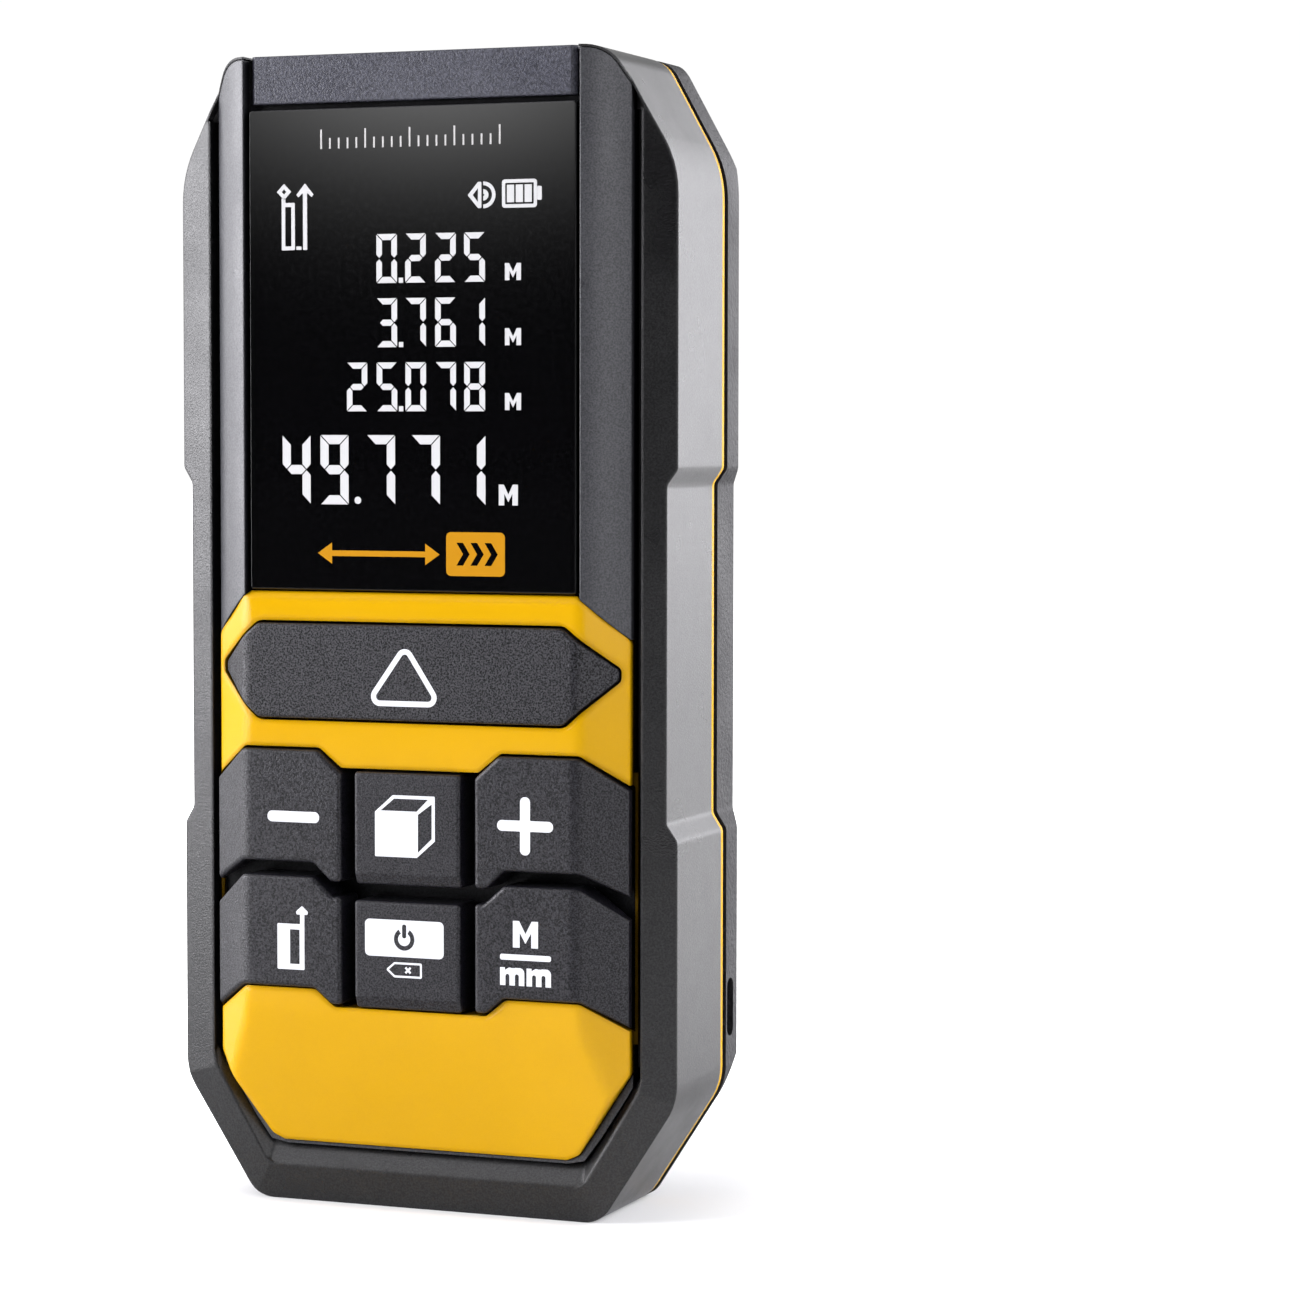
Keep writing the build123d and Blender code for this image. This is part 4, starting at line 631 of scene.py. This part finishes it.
def display():
    b0, b1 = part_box("display_window")
    mid_x, mid_z = (b0.x + b1.x) / 2, (b0.z + b1.z) / 2
    zc = 85.89  # the window's centre height for which the offsets below are written

    def put(name, loops, mat):
        moved = [[(x, z - zc) for x, z in loop] for loop in loops]
        plate(name, moved, "display_window", mat, thick=0.012, sink=0.01, at=(mid_x, mid_z, b0.y))

    white = M["segment"]
    col = [-3.61, -0.50, 2.71, 5.81]
    w, h, t, c = 2.22, 4.80, 0.60, 0.07
    for name, base, text, first in (("row_1", 92.42, "0.225", 0), ("row_2", 86.13, "3.761", 0), ("row_3", 79.84, "25.078", -1)):
        loops = []
        k = first
        for ch in text:
            if ch == ".":
                loops.append(box_path(col[0] + w + 0.19, base, col[0] + w + 0.66, base + 0.50))
                continue
            x = col[k] if k >= 0 else -6.86
            loops += digit(ch, x, base, w, h, t, c)
            k += 1
        loops.append(letter_m(10.14, base + 0.10, 1.70, 1.66, 0.48))
        put("display_" + name, loops, white)
    loops = []
    for ch, x in (("4", -13.96), ("9", -9.79), ("7", -4.72), ("7", 0.12), ("1", 4.98)):
        loops += digit(ch, x, 70.64, 3.08, 6.86, 0.90, 0.075)
    loops.append(arc(-5.70, 71.06, 0.36, 0, 345, 23))
    loops.append(letter_m(9.48, 70.68, 2.02, 2.02, 0.58))
    put("display_total", loops, white)

    # which edge is measured from: a sighting diamond, the instrument and an arrow
    d = 0.80
    dx, dz = -13.70, 101.56
    diamond = [[(dx - d, dz), (dx, dz - d), (dx + d, dz), (dx, dz + d)], [(dx - 0.26, dz), (dx, dz - 0.26), (dx + 0.26, dz), (dx, dz + 0.26)]]
    body = [(-13.97, 95.80), (-12.52, 95.80), (-12.52, 100.47), (-13.55, 100.47), (-13.55, 100.93), (-13.97, 100.93)]
    inner = box_path(-13.58, 96.18, -12.91, 100.06)
    arrow = [(-11.62, 95.80), (-11.17, 95.80), (-11.17, 101.45), (-10.66, 100.98), (-10.45, 101.25), (-11.39, 102.36), (-12.34, 101.25),
             (-12.12, 100.98), (-11.62, 101.45)]
    put("display_reference", diamond + [rounded(body, 0.08, 2), inner, rounded(arrow, 0.06, 2), box_path(-12.36, 95.82, -11.80, 96.16, 0.06, 2)],
        white)

    # sound: a speaker and its waves
    cx, cz = 7.86, 100.82
    speaker = [(6.20, cz), (7.30, cz - 1.27), (7.66, cz - 1.27), (7.66, cz + 1.27), (7.30, cz + 1.27)]
    hole = [(6.74, cz), (7.29, cz - 0.68), (7.29, cz + 0.68)]
    def wave(r0, r1):
        return arc(cx, cz, r1, -90, 90, 16) + list(reversed(arc(cx, cz, r0, -90, 90, 16)))
    put("display_sound", [rounded(speaker, 0.1, 2), hole, wave(0.10, 0.55), wave(0.93, 1.30)], white)

    # battery: an outline with three bars
    x0, x1, z0, z1 = 9.84, 13.52, 99.52, 102.26
    put("display_battery", [box_path(x0, z0, x1, z1, 0.3), box_path(x0 + 0.34, z0 + 0.34, x1 - 0.34, z1 - 0.34, 0.08, 3)], white)
    bars = [box_path(x0 + 0.52 + i * 0.93, z0 + 0.52, x0 + 0.52 + i * 0.93 + 0.76, z1 - 0.52, 0.04, 2) for i in range(3)]
    put("display_charge", bars + [box_path(x1 + 0.02, 100.22, x1 + 0.50, 101.56, 0.1, 3)], white)

    # plain measuring scale where a printed mark sits above the readings
    scale = []
    n = 20
    for i in range(n + 1):
        x = -9.6 + i * 19.2 / n
        tall = 1.9 if i % 5 == 0 else 1.05
        scale.append(box_path(x - 0.09, 105.70, x + 0.09, 105.70 + tall))
    put("display_scale", scale, M["segment_dim"])

    # amber double arrow and badge below the readings
    am = M["amber"]
    z = 65.80
    span = [(-10.1, z), (-8.55, z - 1.05), (-8.55, z - 0.28), (1.60, z - 0.28), (1.60, z - 1.05), (3.15, z), (1.60, z + 1.05), (1.60, z + 0.28),
            (-8.55, z + 0.28), (-8.55, z + 1.05)]
    put("display_span", [span], am)
    badge = [box_path(3.86, 63.72, 10.12, 68.02, 0.5)]
    for i in range(3):
        x = 4.95 + i * 1.5
        badge.append([(x, 64.75), (x + 0.72, 64.75), (x + 1.42, 65.87), (x + 0.72, 66.99), (x, 66.99), (x + 0.70, 65.87)])
    put("display_badge", badge, am)


display()


# ---------------------------------------------------------------- floor, world and lights


def floor():
    mesh = bpy.data.meshes.new("floor")
    bm = bmesh.new()
    bmesh.ops.create_circle(bm, cap_ends=True, radius=6.0, segments=96)
    bm.to_mesh(mesh)
    bm.free()
    obj = bpy.data.objects.new("floor", mesh)
    obj.location = (centre.x, centre.y, low.z - 0.00002)
    scene.collection.objects.link(obj)
    mat = bpy.data.materials.new("pale_floor")
    mat.use_nodes = True
    nt = mat.node_tree
    nt.nodes.clear()
    out = nt.nodes.new("ShaderNodeOutputMaterial")
    paper = nt.nodes.new("ShaderNodeBsdfDiffuse")
    glow = nt.nodes.new("ShaderNodeEmission")
    glow.inputs["Color"].default_value = (1, 1, 1, 1)
    coord = nt.nodes.new("ShaderNodeTexCoord")
    place = nt.nodes.new("ShaderNodeSeparateXYZ")
    nt.links.new(coord.outputs["Object"], place.inputs[0])
    # painted light: the paper colour is brighter on the left, under the left-hand lights
    painted_floor_light = nt.nodes.new("ShaderNodeMapRange")  # brighter paper under the left-hand lights
    painted_floor_light.interpolation_type = "SMOOTHSTEP"
    for k, v in (("From Min", -0.12), ("From Max", -0.02), ("To Min", 0.95), ("To Max", 0.74)):
        painted_floor_light.inputs[k].default_value = v
    nt.links.new(place.outputs["X"], painted_floor_light.inputs["Value"])
    far = nt.nodes.new("ShaderNodeVectorMath")
    far.operation = "LENGTH"
    nt.links.new(coord.outputs["Object"], far.inputs[0])
    edge = nt.nodes.new("ShaderNodeMapRange")
    edge.interpolation_type = "SMOOTHSTEP"
    for k, v in (("From Min", 0.35), ("From Max", 0.70), ("To Min", 1.0), ("To Max", 0.03)):
        edge.inputs[k].default_value = v
    nt.links.new(far.outputs["Value"], edge.inputs["Value"])
    shade = nt.nodes.new("ShaderNodeMath")
    shade.operation = "MULTIPLY"
    nt.links.new(painted_floor_light.outputs[0], shade.inputs[0])
    nt.links.new(edge.outputs[0], shade.inputs[1])
    nt.links.new(shade.outputs[0], paper.inputs["Color"])

    def calc(op, a, b=None):
        m = nt.nodes.new("ShaderNodeMath")
        m.operation = op
        for i, v in enumerate((a, b)):
            if isinstance(v, (int, float)):
                m.inputs[i].default_value = v
            elif v is not None:
                nt.links.new(v, m.inputs[i])
        return m.outputs[0]

    def rise(value, a, b, lo, hi):
        m = nt.nodes.new("ShaderNodeMapRange")
        m.interpolation_type = "SMOOTHSTEP"
        for k, v in (("From Min", a), ("From Max", b), ("To Min", lo), ("To Max", hi)):
            m.inputs[k].default_value = v
        nt.links.new(value, m.inputs["Value"])
        return m.outputs[0]

    # painted light: for camera rays the floor glows, weakly at the footprint and fully a few centimetres out, and more
    # in front and on the left, so it melts into the white background and only the contact shadow stays
    dx = calc("MAXIMUM", calc("SUBTRACT", calc("ABSOLUTE", place.outputs["X"]), (high.x - low.x) / 2 - 0.008), 0.0)
    dy = calc("MAXIMUM", calc("SUBTRACT", calc("ABSOLUTE", place.outputs["Y"]), (high.y - low.y) / 2), 0.0)
    gap = calc("SQRT", calc("ADD", calc("MULTIPLY", dx, dx), calc("MULTIPLY", dy, dy)))
    strength = calc("ADD", rise(gap, 0.0, 0.030, 0.10, 0.55), rise(gap, 0.020, 0.10, 0.0, 0.55))
    strength = calc("ADD", strength, rise(place.outputs["Y"], -0.008, -0.016, 0.0, 0.40))
    strength = calc("ADD", strength, rise(place.outputs["X"], -0.015, -0.030, 0.0, 0.45))
    path = nt.nodes.new("ShaderNodeLightPath")
    # painted light: for all other rays the floor glows behind the object on the right, a bounce light on the object
    painted_bounce_glow = calc("MULTIPLY", rise(place.outputs["X"], 0.035, 0.10, 0.0, 0.75), rise(place.outputs["Y"], -0.06, 0.0, 0.0, 1.0))
    seen = path.outputs["Is Camera Ray"]
    both_ways = calc("ADD", calc("MULTIPLY", strength, seen), calc("MULTIPLY", painted_bounce_glow, calc("SUBTRACT", 1.0, seen)))
    nt.links.new(both_ways, glow.inputs["Strength"])
    both = nt.nodes.new("ShaderNodeAddShader")
    clear = nt.nodes.new("ShaderNodeBsdfTransparent")
    side = nt.nodes.new("ShaderNodeNewGeometry")
    pick = nt.nodes.new("ShaderNodeMixShader")
    nt.links.new(paper.outputs[0], both.inputs[0])
    nt.links.new(glow.outputs[0], both.inputs[1])
    nt.links.new(side.outputs["Backfacing"], pick.inputs[0])
    nt.links.new(both.outputs[0], pick.inputs[1])
    nt.links.new(clear.outputs[0], pick.inputs[2])
    nt.links.new(pick.outputs[0], out.inputs["Surface"])
    mesh.materials.append(mat)


floor()


def world():
    """A white room, dark in front of the object, so that flat faces stay dark and the sides pick up light."""
    w = bpy.data.worlds.new("studio")
    scene.world = w
    w.use_nodes = True
    nt = w.node_tree
    nt.nodes.clear()
    out = nt.nodes.new("ShaderNodeOutputWorld")
    seen = nt.nodes.new("ShaderNodeBackground")
    seen.inputs["Color"].default_value = (1, 1, 1, 1)
    seen.inputs["Strength"].default_value = 1.02
    felt = nt.nodes.new("ShaderNodeBackground")
    coord = nt.nodes.new("ShaderNodeTexCoord")
    sep = nt.nodes.new("ShaderNodeSeparateXYZ")
    nt.links.new(coord.outputs["Generated"], sep.inputs[0])

    def band(axis, a, b, lo, hi):
        m = nt.nodes.new("ShaderNodeMapRange")
        m.interpolation_type = "SMOOTHSTEP"
        for k, v in (("From Min", a), ("From Max", b), ("To Min", lo), ("To Max", hi)):
            m.inputs[k].default_value = v
        nt.links.new(sep.outputs[axis], m.inputs["Value"])
        return m.outputs[0]

    def op(kind, a, b):
        m = nt.nodes.new("ShaderNodeMath")
        m.operation = kind
        for i, v in enumerate((a, b)):
            if isinstance(v, (int, float)):
                m.inputs[i].default_value = v
            else:
                nt.links.new(v, m.inputs[i])
        return m.outputs[0]

    total = op("ADD", band("Y", -0.10, 0.60, 0.0, 0.7), band("Z", 0.55, 1.0, 0.0, 0.6))
    # a small soft glow above the camera's left, which the upper end of the display window mirrors
    ga, ge = math.radians(-24.5), math.radians(6.0)
    glow = Vector((math.sin(ga) * math.cos(ge), -math.cos(ga) * math.cos(ge), math.sin(ge)))
    side = Vector((math.cos(ga), math.sin(ga), 0))
    rise = side.cross(glow)
    if rise.z < 0:
        rise = -rise
    terms = []
    for axis, width in ((side, 3.1), (rise, 1.76)):
        dot = nt.nodes.new("ShaderNodeVectorMath")
        dot.operation = "DOT_PRODUCT"
        nt.links.new(coord.outputs["Generated"], dot.inputs[0])
        dot.inputs[1].default_value = axis
        scaled = op("MULTIPLY", dot.outputs["Value"], 1 / math.sin(math.radians(width)))
        terms.append(op("MULTIPLY", scaled, scaled))
    ahead = nt.nodes.new("ShaderNodeVectorMath")
    ahead.operation = "DOT_PRODUCT"
    nt.links.new(coord.outputs["Generated"], ahead.inputs[0])
    ahead.inputs[1].default_value = glow
    facing = op("GREATER_THAN", ahead.outputs["Value"], 0.0)
    bell = op("POWER", math.e, op("MULTIPLY", op("ADD", terms[0], terms[1]), -1.0))
    total = op("ADD", total, op("MULTIPLY", op("MULTIPLY", bell, facing), 4.8))
    nt.links.new(total, felt.inputs["Strength"])
    path = nt.nodes.new("ShaderNodeLightPath")
    pick = nt.nodes.new("ShaderNodeMixShader")
    nt.links.new(path.outputs["Is Camera Ray"], pick.inputs[0])
    nt.links.new(felt.outputs[0], pick.inputs[1])
    nt.links.new(seen.outputs[0], pick.inputs[2])
    nt.links.new(pick.outputs[0], out.inputs["Surface"])


world()


def softbox(name, azimuth, elevation, distance, wide, tall, radiance, colour=(0.975, 0.968, 1.01)):
    """A rectangular light aimed at the object's middle. Azimuth 0 is in front (-Y), 90 to the right (+X)."""
    a, e = math.radians(azimuth), math.radians(elevation)
    out = Vector((math.sin(a) * math.cos(e), -math.cos(a) * math.cos(e), math.sin(e)))
    data = bpy.data.lights.new(name, "AREA")
    data.shape, data.size, data.size_y = "RECTANGLE", wide, tall
    data.energy = radiance * math.pi * wide * tall  # a Lambertian panel of that radiance
    data.color = colour
    obj = bpy.data.objects.new(name, data)
    obj.location = centre + out * distance
    obj.rotation_mode = "QUATERNION"
    obj.rotation_quaternion = out.to_track_quat("Z", "Y")
    scene.collection.objects.link(obj)
    obj.visible_camera = False
    return obj


# a tall bank on the left, brightest towards the front, a strip behind on the right, and weak fill in front on the right
softbox("bank_left_front", -50, 2, 0.9, 0.20, 0.95, 18.8)
softbox("bank_left_mid", -64, 3, 0.9, 0.20, 0.95, 10.2)
softbox("bank_left_side", -80, 4, 0.9, 0.25, 0.95, 10.1)
softbox("bank_left_back", -100, 14, 0.9, 0.30, 1.0, 3.2)
softbox("fill_right_front", 31, 22, 0.9, 0.22, 0.5, 0.8)
softbox("fill_right", 49, 14, 0.9, 0.26, 1.0, 2.9)
softbox("fill_right_mid", 66, 14, 0.9, 0.26, 1.0, 1.2)
softbox("fill_right_side", 90, 14, 0.9, 0.35, 1.0, 3.3)
softbox("rim_right", 130, 4, 0.9, 0.30, 0.95, 21.5)
softbox("rim_back_right", 150, 8, 0.9, 0.30, 0.95, 3.9)
softbox("rim_back", 170, 4, 0.9, 0.30, 0.7, 1.7)
softbox("overhead", -39, 54, 0.9, 0.34, 0.34, 4.3)
